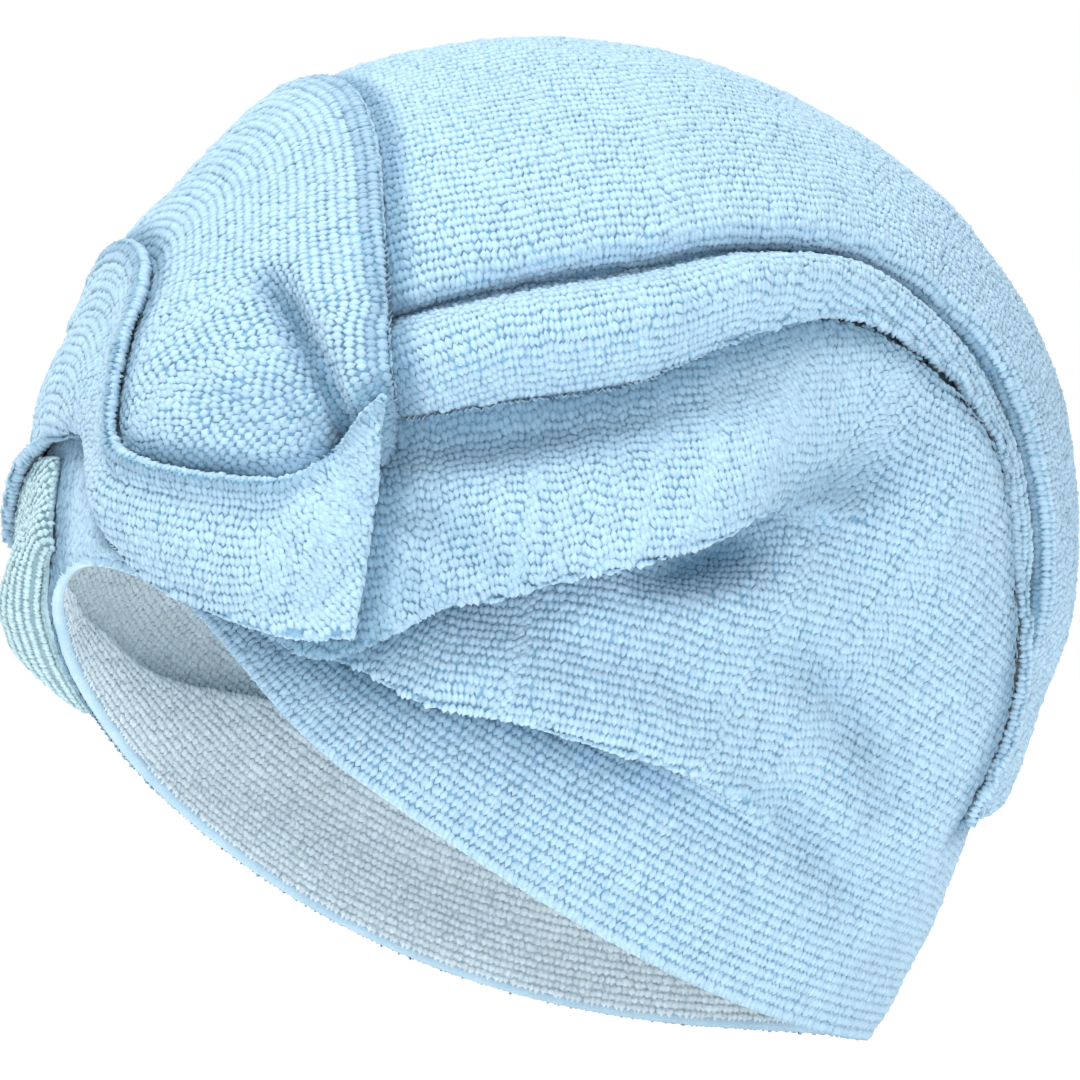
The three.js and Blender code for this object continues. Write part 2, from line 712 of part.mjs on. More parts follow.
// Nape button
// A plain round button on the hood, under the end of the tail.
function makeNapeButton(layers) {
  const onHood = (back, side) => {
    const { point, normal } = formAt(direction(back, side));
    return point.clone().addScaledVector(normal, highestBelow(point, layers));
  };
  const apart = 4;
  const rise = onHood(BUTTON_BACK - apart, BUTTON_SIDE).sub(onHood(BUTTON_BACK + apart, BUTTON_SIDE));
  const across = onHood(BUTTON_BACK, BUTTON_SIDE + apart).sub(onHood(BUTTON_BACK, BUTTON_SIDE - apart));
  const normal = across.cross(rise).normalize();
  const seat = onHood(BUTTON_BACK, BUTTON_SIDE);
  if (normal.dot(seat.clone().sub(HUB)) < 0) normal.negate();
  const radius = BUTTON_DIAMETER / 2;
  const outline = table(
    ['out', 'up'], // shares of the radius and of the thickness
    [[0, 0], [0.86, 0], [1, 0.3], [1, 0.7], [0.86, 1], [0, 1]],
  ).map(({ out, up }) => new THREE.Vector2(out * radius, up * BUTTON_THICKNESS));
  const geometry = new THREE.LatheGeometry(outline, BUTTON_SIDES);
  geometry.rotateX(Math.PI / 2);
  const upright = new THREE.Vector3(0, 0, 1);
  const turn = new THREE.Quaternion().setFromUnitVectors(upright, normal);
  const centre = seat.clone().addScaledVector(normal, CLEARANCE);
  geometry.applyQuaternion(turn).translate(centre.x, centre.y, centre.z);
  const top = [];
  for (let step = 0; step < BUTTON_SIDES; step += 1) {
    const rim = new THREE.Vector3(radius, 0, BUTTON_THICKNESS);
    rim.applyAxisAngle(upright, 2 * Math.PI * step / BUTTON_SIDES);
    top.push(laid(rim.applyQuaternion(turn).add(centre)));
  }
  return { geometry, layer: [...top, laid(centre.clone().addScaledVector(normal, BUTTON_THICKNESS))] };
}

function cloth(name, geometry, colour) {
  const material = new THREE.MeshStandardMaterial({ color: colour, roughness: 0.95, metalness: 0 });
  const mesh = new THREE.Mesh(geometry, material);
  mesh.name = name;
  return mesh;
}

const hood = makeHood();
const button = makeNapeButton([hood.layer]);
const temple = makeTempleFold([hood.layer]);
const tail = makeTail([hood.layer, button.layer]);
const lobe = makeFrontLobe([hood.layer, tail.layer]);
const wrap = makeForeheadWrap([hood.layer, temple.layer, tail.layer, lobe.layer]);

const turban = new THREE.Group();
turban.add(
  cloth('hood', hood.geometry, 0xabcde6),
  cloth('tail', tail.geometry, 0xb6dcf4),
  cloth('front_lobe', lobe.geometry, 0xc8ecfd),
  cloth('forehead_wrap', wrap.geometry, 0xb0d0e9),
  cloth('temple_fold', temple.geometry, 0xa0c1cd),
  cloth('hem_binding', makeHemBinding(hood.edge), 0xd2e6f0),
  cloth('nape_button', button.geometry, 0xe6eef2),
);

export default turban;
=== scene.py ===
import math

import bpy
import numpy as np
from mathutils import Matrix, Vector
from mathutils.kdtree import KDTree


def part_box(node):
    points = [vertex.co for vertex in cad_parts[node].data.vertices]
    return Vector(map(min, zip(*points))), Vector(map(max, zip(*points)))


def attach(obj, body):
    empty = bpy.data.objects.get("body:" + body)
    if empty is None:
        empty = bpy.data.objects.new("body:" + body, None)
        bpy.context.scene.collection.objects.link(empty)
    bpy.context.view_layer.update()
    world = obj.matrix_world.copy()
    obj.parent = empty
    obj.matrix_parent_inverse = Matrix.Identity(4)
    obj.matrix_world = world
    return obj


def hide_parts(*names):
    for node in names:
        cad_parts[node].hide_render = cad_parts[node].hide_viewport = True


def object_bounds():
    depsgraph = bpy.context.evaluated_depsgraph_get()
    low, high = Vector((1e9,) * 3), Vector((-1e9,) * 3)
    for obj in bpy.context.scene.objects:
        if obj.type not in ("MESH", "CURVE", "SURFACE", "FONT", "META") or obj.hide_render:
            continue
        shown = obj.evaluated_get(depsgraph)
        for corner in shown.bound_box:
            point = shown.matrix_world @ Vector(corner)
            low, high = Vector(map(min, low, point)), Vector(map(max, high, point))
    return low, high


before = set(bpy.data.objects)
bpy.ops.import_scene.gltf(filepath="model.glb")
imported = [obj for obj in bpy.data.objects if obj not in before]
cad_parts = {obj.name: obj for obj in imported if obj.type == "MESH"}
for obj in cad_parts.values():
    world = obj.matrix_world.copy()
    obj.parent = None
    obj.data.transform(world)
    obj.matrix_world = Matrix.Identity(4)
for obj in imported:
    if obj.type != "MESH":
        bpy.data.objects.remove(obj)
cad_box = [list(corner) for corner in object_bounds()]


# Studio
# A level camera beside the left brow, a plain pale floor below the towel, and soft light that comes mostly
# from above the forehead.
AZIMUTH = 66.0  # degrees round from straight ahead to the camera
FRAME_WIDTH = 0.243  # what the camera takes in, across the middle of the towel
AIM_ACROSS = 0.018  # the point aimed at, to the right in the camera's view
AIM_HEIGHT = 0.1116
CAMERA_DISTANCE = 3.0
SENSOR_WIDTH = 36.0
LIGHTS = [
    # name, across, forward, height, size, watts, colour
    ("key", -0.32, 0.3, 1.05, 0.45, 12.5, (1.0, 0.985, 0.96)),
    ("fill", 0.2, 0.95, -0.14, 0.5, 6.0, (0.98, 0.99, 1.0)),
]
BACKDROP_LIGHT = 0.72  # what the backdrop casts, as a share of what the camera sees of it
FLOOR_DROP = 0.06
FLOOR_HALF = 12.0
FLOOR_COLOUR = (0.93, 0.93, 0.93, 1.0)
FLOOR_GLOW = 0.36

turn = math.radians(AZIMUTH)
towards_camera = Vector((math.sin(turn), -math.cos(turn), 0.0))
camera_right = Vector((math.cos(turn), math.sin(turn), 0.0))
aim = camera_right * AIM_ACROSS + Vector((0.0, 0.0, AIM_HEIGHT))
camera_data = bpy.data.cameras.new("camera")
camera_data.sensor_width = SENSOR_WIDTH
camera_data.lens = SENSOR_WIDTH * CAMERA_DISTANCE / FRAME_WIDTH
camera_data.clip_start = 0.05
camera_data.clip_end = 60.0
camera = bpy.data.objects.new("camera", camera_data)
camera.location = aim + towards_camera * CAMERA_DISTANCE
camera.rotation_mode = "QUATERNION"
camera.rotation_quaternion = (-towards_camera).to_track_quat("-Z", "Y")
bpy.context.scene.collection.objects.link(camera)
bpy.context.scene.camera = camera
bpy.context.scene.view_settings.view_transform = "Standard"


def area_light(name, across, forward, height, size, power, colour):
    """A square light that looks at the towel from a place given in the camera's directions."""
    data = bpy.data.lights.new(name, "AREA")
    data.shape = "SQUARE"
    data.size = size
    data.energy = power
    data.color = colour
    lamp = bpy.data.objects.new(name, data)
    lamp.location = aim + camera_right * across + towards_camera * forward + Vector((0, 0, height))
    lamp.rotation_mode = "QUATERNION"
    lamp.rotation_quaternion = (aim - lamp.location).to_track_quat("-Z", "Y")
    bpy.context.scene.collection.objects.link(lamp)


for light in LIGHTS:
    area_light(*light)

world = bpy.data.worlds.new("studio")
world.use_nodes = True
backdrop = world.node_tree.nodes["Background"]
backdrop.inputs["Color"].default_value = (1.0, 1.0, 1.0, 1.0)
seen = world.node_tree.nodes.new("ShaderNodeLightPath")
brightness = world.node_tree.nodes.new("ShaderNodeMapRange")
brightness.inputs["To Min"].default_value = BACKDROP_LIGHT
brightness.inputs["To Max"].default_value = 1.0
world.node_tree.links.new(seen.outputs["Is Camera Ray"], brightness.inputs["Value"])
world.node_tree.links.new(brightness.outputs["Result"], backdrop.inputs["Strength"])
bpy.context.scene.world = world

floor_level = cad_box[0][2] - FLOOR_DROP
floor_corners = [
    (x * FLOOR_HALF, y * FLOOR_HALF, floor_level) for x, y in ((-1, -1), (1, -1), (1, 1), (-1, 1))]
floor_mesh = bpy.data.meshes.new("floor")
floor_mesh.from_pydata(floor_corners, [], [(0, 1, 2, 3)])
floor = bpy.data.objects.new("floor", floor_mesh)
bpy.context.scene.collection.objects.link(floor)
floor_paint = bpy.data.materials.new("floor_paint")
floor_paint.use_nodes = True
floor_shader = floor_paint.node_tree.nodes["Principled BSDF"]
floor_shader.inputs["Base Color"].default_value = FLOOR_COLOUR
floor_shader.inputs["Roughness"].default_value = 0.9
floor_shader.inputs["Emission Color"].default_value = (1.0, 1.0, 1.0, 1.0)
floor_shader.inputs["Emission Strength"].default_value = FLOOR_GLOW
floor_mesh.materials.append(floor_paint)


# Hood
# A bonnet of knitted microfibre towelling, open below, that grips what it is worn on round its hem. Its
# slack is lapped by hand into pleats that fan out from the left temple. Rows of fat round loops, each a
# bundle of hair-fine fibres, cover its face.

# Lengths here and below are in millimetres until a mesh is made.
HEM_WIDTH = 154.0
HEM_LENGTH = 190.0
HEM_RISE = 98.0
HEM_SWEEP = 3.8
WING_RISE = 11.0
WING_TURN = 14.0
WING_SPREAD = 45.0
FORM_CENTRE = np.array([0.0, 18.0, 112.0])
FORM_ABOVE = np.array([86.0, 108.0, 96.0])
FORM_BELOW = np.array([86.0, 108.0, 158.0])
WALL = 2.6
CLEARANCE = 0.6
HOOD_LOFT = 9.0
PLEAT_HEIGHT = 10.0
PLEAT_WIDTH = 34.0
PLEAT_LEAN = 0.75
LEAN_REACH = 8.0
STEP_WIDTH = 2.8
HOLLOW = 0.85  # how far the cloth under a lip sinks, as a share of the pleat's height
FLANK = 0.6
HOOD_ROWS = 152
HOOD_COLUMNS = 172
BROW_FADE = (4, 20)  # degrees of back over which the hood rises from its hem at the brow
NAPE_FADE = (168, 178)  # and sinks to it again at the nape
HEM_FADE = (0.8, 1)  # shares of the way to the hem over which folds and swells die out
HOLLOW_IN = (0, 3)  # how far past a lip the hollow under it begins
HOLLOW_OUT = (5, 20)  # and ends
# Painted shade in the hollow under each lip: where it begins and ends past the lip, and the lip heights over
# which it gains full depth.
LIP_SHADE_IN = (0.6, 2.5)  # the same for its dark colour
LIP_SHADE_OUT = (5, 13)
LIP_SHADE_HEIGHT = (1, 11)  # heights of a lip over which that colour gains its full depth
# Painted shade in the soft folds, by their depth.
HOOD_FOLD_SHADE = (9, 0.9)  # a fold's depth for full darkness, and the darkest that it may be
HOOD_SWELLS = [(46.0, 3, 0.9), (21.0, 4, 0.35)]  # each a size, a seed and a height
FINE_ROW = (600, 900)  # steps that a row is worked out in, on the right and on the left
MIDLINE = 0.001  # how near to the middle of the crown they start, as a share of a row
FIRST_TURN = 0.9  # degrees from the forehead to the first row, and from the last row to the nape
GROUND_SHADE = 0.12  # how high in the pile the ground between the loops counts, from 0 to 1
HOOD_UNDER_SHADE = 0.6
BAND_UNDER_SHADE = 0.5
OTHER_SIDE = 99.0  # a lip's distance on the side of the hood that it isn't on
# The deep colour is partly the denser ground cloth and partly painted shade between the loops; the tip
# colour is a painted highlight.
FACE_COLOURS = (0.22, 0.44, 0.62), (0.37, 0.565, 0.72), (0.42, 0.61, 0.775)  # deep, face and tip
# The inside colours are paler than the face, partly the inner face's own tone and partly painted light for
# the bright hollow of the hood.
INNER_COLOURS = (0.57, 0.75, 0.88), (0.76, 0.89, 0.97), (0.82, 0.93, 0.98)
# Painted shade: creases, hollows under lips and spots beside upper bands are multiplied towards this colour.
PAINTED_CREASE_SHADE = (0.16, 0.32, 0.42, 1.0)
KNOB_DEPTH = 0.0009  # metres

HOOD_GROUND = np.array([
    # back, crown, flank
    [10, 0.45, 0.45],
    [25, 0.45, 0.50],
    [50, 0.40, 0.75],
    [75, 0.45, 0.80],
    [100, 0.50, 0.80],
    [130, 0.50, 0.75],
    [155, 0.18, 0.30],
    [180, 0.10, 0.10],
])
# Each pleat: its side, the way its steep face looks, its width, and its run. A lip is a share of the way
# from the crown to the hem, and a height is a share of the pleats' own.
PLEATS = {
    "low": (1, 1, 0.44, [
        # back, lip, height
        [0, 0.87, 0.1],
        [30, 0.86, 0.6],
        [42, 0.82, 0.85],
        [63, 0.77, 0.85],
        [84, 0.735, 0.7],
        [102, 0.73, 0.3],
        [116, 0.74, 0],
        [180, 0.75, 0],
    ]),
    "middle": (1, 1, 0.88, [
        [0, 0.79, 0.1],
        [30, 0.78, 0.5],
        [45, 0.73, 0.9],
        [59, 0.625, 1.05],
        [72, 0.53, 1.25],
        [84, 0.465, 1.1],
        [91, 0.45, 0.5],
        [98, 0.42, 0.1],
        [106, 0.42, 0],
        [124, 0.42, 0],
        [180, 0.60, 0],
    ]),
    "back_edge": (1, -1, 1, [
        [0, 0.40, 0],
        [50, 0.40, 0],
        [76, 0.35, 0.05],
        [90, 0.30, 0.55],
        [108, 0.31, 0.9],
        [119, 0.355, 0.85],
        [132, 0.45, 0.7],
        [140, 0.58, 0.25],
        [150, 0.6, 0],
        [180, 0.50, 0],
    ]),
    "far_middle": (-1, 1, 1, [
        [0, 0.60, 0.1],
        [45, 0.62, 0.45],
        [75, 0.52, 0.6],
        [105, 0.48, 0.5],
        [135, 0.55, 0.25],
        [180, 0.60, 0],
    ]),
    "far_low": (-1, 1, 0.7, [
        [0, 0.80, 0.1],
        [45, 0.84, 0.4],
        [75, 0.76, 0.5],
        [105, 0.72, 0.45],
        [135, 0.76, 0.2],
        [180, 0.80, 0],
    ]),
}

# Soft folds that sink the cloth: paths of back, side and depth, and a half width.
HOOD_FOLDS = [
    ([[84, 50, 1], [91, 46, 4], [97, 41, 4], [102, 36, 1]], 7.0),
    ([[75, 61, 0], [80, 58.5, 5], [84.5, 56, 9], [89, 52.8, 8], [93, 49, 0]], 4.0),
    ([[46, 52, 3], [58, 51, 5], [70, 47, 4], [78, 43, 2], [86, 38, 0]], 6.0),
    ([[50, 60, 2.5], [60, 60, 2], [72, 56, 0]], 4.0),
    ([[48, 66, 2.5], [56, 66, 1.5], [66, 64, 0]], 4.0),
    ([[92, 60, 0], [104, 58, 2], [118, 60, 2], [130, 64, 0]], 6.0),
    ([[96, 76, 0], [108, 74, 1.5], [124, 76, 1.5], [138, 80, 0]], 6.0),
]


def set_inputs(node, values):
    for socket, value in values.items():
        node.inputs[socket].default_value = value


def fibre_group():
    """The fine fibres of a loop: a small uneven relief, and a mask that mottles the colour."""
    group = bpy.data.node_groups.new("fine_fibres", "ShaderNodeTree")
    face = group.interface
    for name, low in (("Scale", 1500.0), ("Strength", 0.3), ("Depth", 0.0002)):
        socket = face.new_socket(name, in_out="INPUT", socket_type="NodeSocketFloat")
        socket.default_value = low
    face.new_socket("Normal", in_out="OUTPUT", socket_type="NodeSocketVector")
    face.new_socket("Mottle", in_out="OUTPUT", socket_type="NodeSocketFloat")
    nodes, links = group.nodes, group.links
    given, put = nodes.new("NodeGroupInput"), nodes.new("NodeGroupOutput")
    where = nodes.new("ShaderNodeTexCoord")
    fine = nodes.new("ShaderNodeTexNoise")
    fine.inputs["Detail"].default_value = 3.0
    fine.inputs["Roughness"].default_value = 0.7
    broad = nodes.new("ShaderNodeTexNoise")
    broad.inputs["Scale"].default_value = 55.0
    broad.inputs["Detail"].default_value = 2.0
    bump = nodes.new("ShaderNodeBump")
    links.new(where.outputs["Object"], fine.inputs["Vector"])
    links.new(where.outputs["Object"], broad.inputs["Vector"])
    links.new(given.outputs["Scale"], fine.inputs["Scale"])
    links.new(given.outputs["Strength"], bump.inputs["Strength"])
    links.new(given.outputs["Depth"], bump.inputs["Distance"])
    links.new(fine.outputs["Fac"], bump.inputs["Height"])
    links.new(bump.outputs["Normal"], put.inputs["Normal"])
    mixed = nodes.new("ShaderNodeMix")
    mixed.data_type = "FLOAT"
    mixed.inputs[0].default_value = 0.55
    links.new(fine.outputs["Fac"], mixed.inputs[2])
    links.new(broad.outputs["Fac"], mixed.inputs[3])
    links.new(mixed.outputs[0], put.inputs["Mottle"])
    return group


fine_fibres = fibre_group()


def with_fibres(name, roughness, scale, strength, depth):
    """A new material that has the fine fibres' relief, and with it its nodes, links, shader and fibres."""
    material = bpy.data.materials.new(name)
    material.use_nodes = True
    nodes, links = material.node_tree.nodes, material.node_tree.links
    shader = nodes["Principled BSDF"]
    set_inputs(shader, {"Roughness": roughness})
    fibres = nodes.new("ShaderNodeGroup")
    fibres.node_tree = fine_fibres
    set_inputs(fibres, {"Scale": scale, "Strength": strength, "Depth": depth})
    links.new(fibres.outputs["Normal"], shader.inputs["Normal"])
    return material, nodes, links, shader, fibres


def towelling(name, colours, scale=2200.0, knobs=0.0):
    """A microfibre finish: deep between the loops, face on them and tip where the light catches them.

    The deep colour is partly the denser ground cloth and partly painted shade between the loops, and the tip
    colour is a painted highlight. The loop attribute gives a height in the pile, a random share and the
    amount of painted crease shade. Where no loops are modelled, knobs is the scale of a relief that stands
    in for them.
    """
    material, nodes, links, shader, fibres = with_fibres(name, 0.92, scale, 0.8, 0.0004)
    set_inputs(shader, {"Specular IOR Level": 0.25, "Sheen Weight": 0.35, "Sheen Roughness": 0.45})
    set_inputs(shader, {"Sheen Tint": (0.86, 0.95, 1.0, 1.0)})
    loop = nodes.new("ShaderNodeAttribute")
    loop.attribute_name = "loop"
    parts = nodes.new("ShaderNodeSeparateXYZ")
    links.new(loop.outputs["Vector"], parts.inputs[0])
    ramp = nodes.new("ShaderNodeValToRGB")
    deep, face = ramp.color_ramp.elements
    deep.position, face.position = 0.05, 0.55
    ramp.color_ramp.elements.new(1.0)
    for element, colour in zip(ramp.color_ramp.elements, colours):
        element.color = (*colour, 1.0)
    links.new(parts.outputs["X"], ramp.inputs["Fac"])
    uneven = nodes.new("ShaderNodeMath")
    uneven.operation = "MULTIPLY_ADD"
    uneven.inputs[1].default_value = 0.5
    links.new(parts.outputs["Y"], uneven.inputs[0])
    links.new(fibres.outputs["Mottle"], uneven.inputs[2])
    span = nodes.new("ShaderNodeMapRange")
    set_inputs(span, {"From Min": 0.3, "From Max": 1.2, "To Min": 0.86, "To Max": 1.08})
    links.new(uneven.outputs[0], span.inputs["Value"])
    tint = nodes.new("ShaderNodeMix")
    tint.data_type = "RGBA"
    tint.blend_type = "MULTIPLY"
    tint.inputs[0].default_value = 1.0
    links.new(ramp.outputs["Color"], tint.inputs[6])
    links.new(span.outputs["Result"], tint.inputs[7])
    # Painted shade: the loop attribute's third value darkens the colour towards the crease shade colour.
    crease = nodes.new("ShaderNodeMix")
    crease.data_type = "RGBA"
    crease.blend_type = "MULTIPLY"
    crease.inputs[7].default_value = PAINTED_CREASE_SHADE
    links.new(parts.outputs["Z"], crease.inputs[0])
    links.new(tint.outputs[2], crease.inputs[6])
    links.new(crease.outputs[2], shader.inputs["Base Color"])
    if knobs:
        where = nodes.new("ShaderNodeTexCoord")
        cells = nodes.new("ShaderNodeTexVoronoi")
        set_inputs(cells, {"Scale": knobs})
        raised = nodes.new("ShaderNodeBump")
        raised.invert = True
        set_inputs(raised, {"Strength": 1.0, "Distance": KNOB_DEPTH})
        # Painted shade between the knobs and a painted highlight on their tops: the cell distance picks the
        # colour from tip to deep.
        roots = nodes.new("ShaderNodeMapRange")
        set_inputs(roots, {"From Max": 0.85, "To Min": 1.0, "To Max": 0.12})
        links.new(where.outputs["Object"], cells.inputs["Vector"])
        links.new(cells.outputs["Distance"], raised.inputs["Height"])
        links.new(cells.outputs["Distance"], roots.inputs["Value"])
        links.new(roots.outputs["Result"], ramp.inputs["Fac"])
        links.new(fibres.outputs["Normal"], raised.inputs["Normal"])
        links.new(raised.outputs["Normal"], shader.inputs["Normal"])
    return material


face_towelling = towelling("face_towelling", FACE_COLOURS)
inner_towelling = towelling("inner_towelling", INNER_COLOURS)
inner_ground = towelling("inner_ground", INNER_COLOURS, knobs=560.0)


def unit(vectors):
    return vectors / np.maximum(np.linalg.norm(vectors, axis=-1, keepdims=True), 1e-9)


def mix(start, end, share):
    return start + (end - start) * share


def smooth(value, low, high):
    share = np.clip((value - low) / (high - low), 0.0, 1.0)
    return share * share * (3.0 - 2.0 * share)


def along(keys, values, at):
    """Values by an even curve through a few rows."""
    keys, values = np.asarray(keys, float), np.asarray(values, float)
    last = len(keys) - 1
    before = np.maximum(np.arange(len(keys)) - 1, 0)
    after = np.minimum(np.arange(len(keys)) + 1, last)
    slopes = (values[after] - values[before]) / (keys[after] - keys[before])
    at = np.clip(at, keys[0], keys[-1])
    here = np.clip(np.searchsorted(keys, at, side="right") - 1, 0, last - 1)
    span = keys[here + 1] - keys[here]
    share = (at - keys[here]) / span
    square, cube = share**2, share**3
    start = values[here] * (2 * cube - 3 * square + 1) + slopes[here] * span * (cube - 2 * square + share)
    end = values[here + 1] * (3 * square - 2 * cube) + slopes[here + 1] * span * (cube - square)
    return start + end


FOREHEAD = np.array([0.0, -HEM_LENGTH / 2, HEM_RISE])
NAPE = np.array([0.0, HEM_LENGTH / 2, 0.0])
HUB = (FOREHEAD + NAPE) / 2
AXIS = unit(FOREHEAD - NAPE)
LEFT = np.array([1.0, 0.0, 0.0])
CROWNWARD = unit(np.cross(AXIS, LEFT))


def hem_point(turns):
    """The hem at a turn in degrees: 0 at the forehead, 180 at the nape, negative on the right."""
    angle = np.radians(turns)
    wing = np.cos(np.clip((turns - WING_TURN) / WING_SPREAD, -1, 1) * np.pi / 2) ** 2
    fall = np.abs(np.cos(angle / 2)) ** HEM_SWEEP
    return np.stack([
        HEM_WIDTH / 2 * np.sin(angle),
        -HEM_LENGTH / 2 * np.cos(angle),
        HEM_RISE * fall + WING_RISE * wing,
    ], axis=-1)


def direction(back, side):
    """A way out from the hub: back runs from the forehead to the nape, side from the crown to the left."""
    from_axis, round_it = np.radians(back), np.radians(side)
    return (
        AXIS * np.cos(from_axis)[..., None]
        + CROWNWARD * (np.sin(from_axis) * np.cos(round_it))[..., None]
        + LEFT * (np.sin(from_axis) * np.sin(round_it))[..., None]
    )


def form_at(ray):
    """Where rays from the hub leave the form that the towel is worn on, and the outward normals there."""
    found = []
    for radii in (FORM_ABOVE, FORM_BELOW):
        start, step = (HUB - FORM_CENTRE) / radii, ray / radii
        square, cross = (step * step).sum(-1), step @ start
        reach = (-cross + np.sqrt(cross**2 - square * (start @ start - 1))) / square
        point = HUB + ray * reach[..., None]
        found.append((point, unit((point - FORM_CENTRE) / radii**2)))
    above = (found[0][0][..., 2] >= FORM_CENTRE[2])[..., None]
    return np.where(above, found[0][0], found[1][0]), np.where(above, found[0][1], found[1][1])


def place(back, side, lift):
    point, normal = form_at(direction(back, side))
    return point + normal * lift[..., None]


def laid(points):
    """The spots on the form square below points of cloth, and how high above them the points are."""
    foot, normal = form_at(unit(points - HUB))
    for _ in range(5):
        lift = ((points - foot) * normal).sum(-1)
        foot, normal = form_at(unit(points - normal * lift[..., None] - HUB))
    return foot, lift


def angles_of(points):
    away = unit(points - HUB)
    return np.degrees(np.arccos(away @ AXIS)), np.degrees(np.arctan2(away @ LEFT, away @ CROWNWARD))


def degree_length(back, side):
    """The length of one degree of side on the form."""
    arm = form_at(direction(back, side))[0] - HUB
    across = arm - (arm @ AXIS)[..., None] * AXIS
    return np.maximum(np.radians(1) * np.linalg.norm(across, axis=-1), 0.5)


def waves(points, size, seed):
    """A soft uneven swell from -1 to 1, the sum of a few plane waves about size long."""
    rng = np.random.default_rng(seed)
    ways = unit(rng.normal(size=(9, 3))) * (2 * np.pi / (size * rng.uniform(0.7, 1.5, (9, 1))))
    return np.sin(points @ ways.T + rng.uniform(0, 2 * np.pi, 9)).sum(-1) / 4.5


def swells(points, parts):
    """The sum of such swells, each with its size, its seed and its height."""
    return sum(waves(points, size, seed) * height for size, seed, height in parts)


def troughs(ground, folds):
    """How far soft folds sink a surface. Each is a path of back, side and depth, and its half width."""
    sunk = np.zeros(ground.shape[:-1])
    for path, width in folds:
        path = np.array(path, float)
        numbers = np.arange(len(path), dtype=float)
        at = np.linspace(0, numbers[-1], 24)
        back, side, depth = (along(numbers, path[:, column], at) for column in range(3))
        line = form_at(direction(back, side))[0]
        best = np.full(sunk.shape, 1e9)
        deep = np.zeros(sunk.shape)
        for start, end, first, last in zip(line[:-1], line[1:], depth[:-1], depth[1:]):
            run = end - start
            share = np.clip(((ground - start) @ run) / (run @ run), 0, 1)
            away = ((ground - start - share[..., None] * run) ** 2).sum(-1)
            nearer = away < best
            best = np.where(nearer, away, best)
            deep = np.where(nearer, mix(first, last, share), deep)
        sunk += deep * np.exp(-best / width**2)
    return sunk


def distances(points, axis=0):
    """How far each point of a line, or of each line of a grid, is from the first one along that line."""
    steps = np.linalg.norm(np.diff(points, axis=axis), axis=-1)
    return np.insert(np.cumsum(steps, axis=axis), 0, 0.0, axis=axis)


def evenly(rows, columns):
    """Each row of a grid of values again, with its points evenly apart. The first three are x, y and z."""
    out = np.zeros((len(rows), columns, rows.shape[2]))
    lengths = np.zeros(len(rows))
    for at, row in enumerate(rows):
        arc = distances(row[:, :3])
        lengths[at] = arc[-1]
        spots = np.linspace(0, arc[-1], columns)
        for value in range(rows.shape[2]):
            out[at, :, value] = np.interp(spots, arc, row[:, value])
    return out, lengths


def grid_normals(points):
    """The unit normals of a grid of points, outwards from the hub."""
    down, across = np.gradient(points, axis=0), np.gradient(points, axis=1)
    normal = unit(np.cross(down, across))
    if ((points - HUB) * normal).sum() < 0:
        normal = -normal
    return normal


def shell_faces(rows, columns):
    """The faces of a closed shell whose outer grid's corners come first and whose inner grid's follow."""
    at = np.arange(rows * columns).reshape(rows, columns)
    under = at + rows * columns
    a, b, c, d = at[:-1, :-1], at[:-1, 1:], at[1:, 1:], at[1:, :-1]
    faces = [np.stack([a, b, c, d], -1).reshape(-1, 4)]
    inner = np.stack([a, d, c, b], -1).reshape(-1, 4) + rows * columns
    faces.append(inner)
    for out, within, way in ((at[:, 0], under[:, 0], 1), (at[:, -1], under[:, -1], -1),
                             (at[0], under[0], -1), (at[-1], under[-1], 1)):
        quads = np.stack([out[:-1], out[1:], within[1:], within[:-1]], -1)
        faces.append(quads[:, ::way] if way == -1 else quads)
    return np.concatenate(faces), len(inner)


def make_mesh(name, points, quads, material, loop=None):
    """A smooth mesh from arrays of corners, in millimetres, and of faces with three or four corners."""
    mesh = bpy.data.meshes.new(name)
    corners = quads.shape[1]
    mesh.vertices.add(len(points))
    mesh.vertices.foreach_set("co", (points * 0.001).astype(np.float32).ravel())
    mesh.loops.add(quads.size)
    mesh.loops.foreach_set("vertex_index", quads.astype(np.int32).ravel())
    mesh.polygons.add(len(quads))
    mesh.polygons.foreach_set("loop_start", np.arange(0, quads.size, corners, dtype=np.int32))
    mesh.polygons.foreach_set("material_index", np.zeros(len(quads), np.int32))
    mesh.update(calc_edges=True)
    mesh.validate()
    mesh.shade_smooth()
    if loop is not None:
        attribute = mesh.attributes.new("loop", "FLOAT_VECTOR", "POINT")
        attribute.data.foreach_set("vector", loop.astype(np.float32).ravel())
    mesh.materials.append(material)
    piece = bpy.data.objects.new(name, mesh)
    bpy.context.scene.collection.objects.link(piece)
    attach(piece, "root")
    return piece


def outwards(points, quads, count):
    """The faces turned so that the first count of them look away from the hub."""
    a, b, c = (points[quads[:count, corner]] for corner in range(3))
    facing = (np.cross(b - a, c - a) * (a - HUB)).sum()
    return quads if facing > 0 else quads[:, ::-1]


def cloth_shell(name, outer, inner, crease, material, under_material, under_shade=BAND_UNDER_SHADE):
    """A wall of cloth between two grids, with its own material on the inner one."""
    points = np.concatenate([outer.reshape(-1, 3), inner.reshape(-1, 3)])
    quads, count = shell_faces(*outer.shape[:2])
    quads = outwards(points, quads, count)
    face = len(points) // 2
    loop = np.zeros((len(points), 3))
    loop[:face, 0] = GROUND_SHADE
    loop[face:, 0] = under_shade
    loop[:, 1] = 0.5
    # painted crease shade on the outer face
    loop[:face, 2] = np.ravel(crease)
    piece = make_mesh(name, points, quads, material, loop)
    piece.data.materials.append(under_material)
    slots = np.zeros(len(quads), np.int32)
    slots[count:2 * count] = 1
    piece.data.polygons.foreach_set("material_index", slots)
    return piece


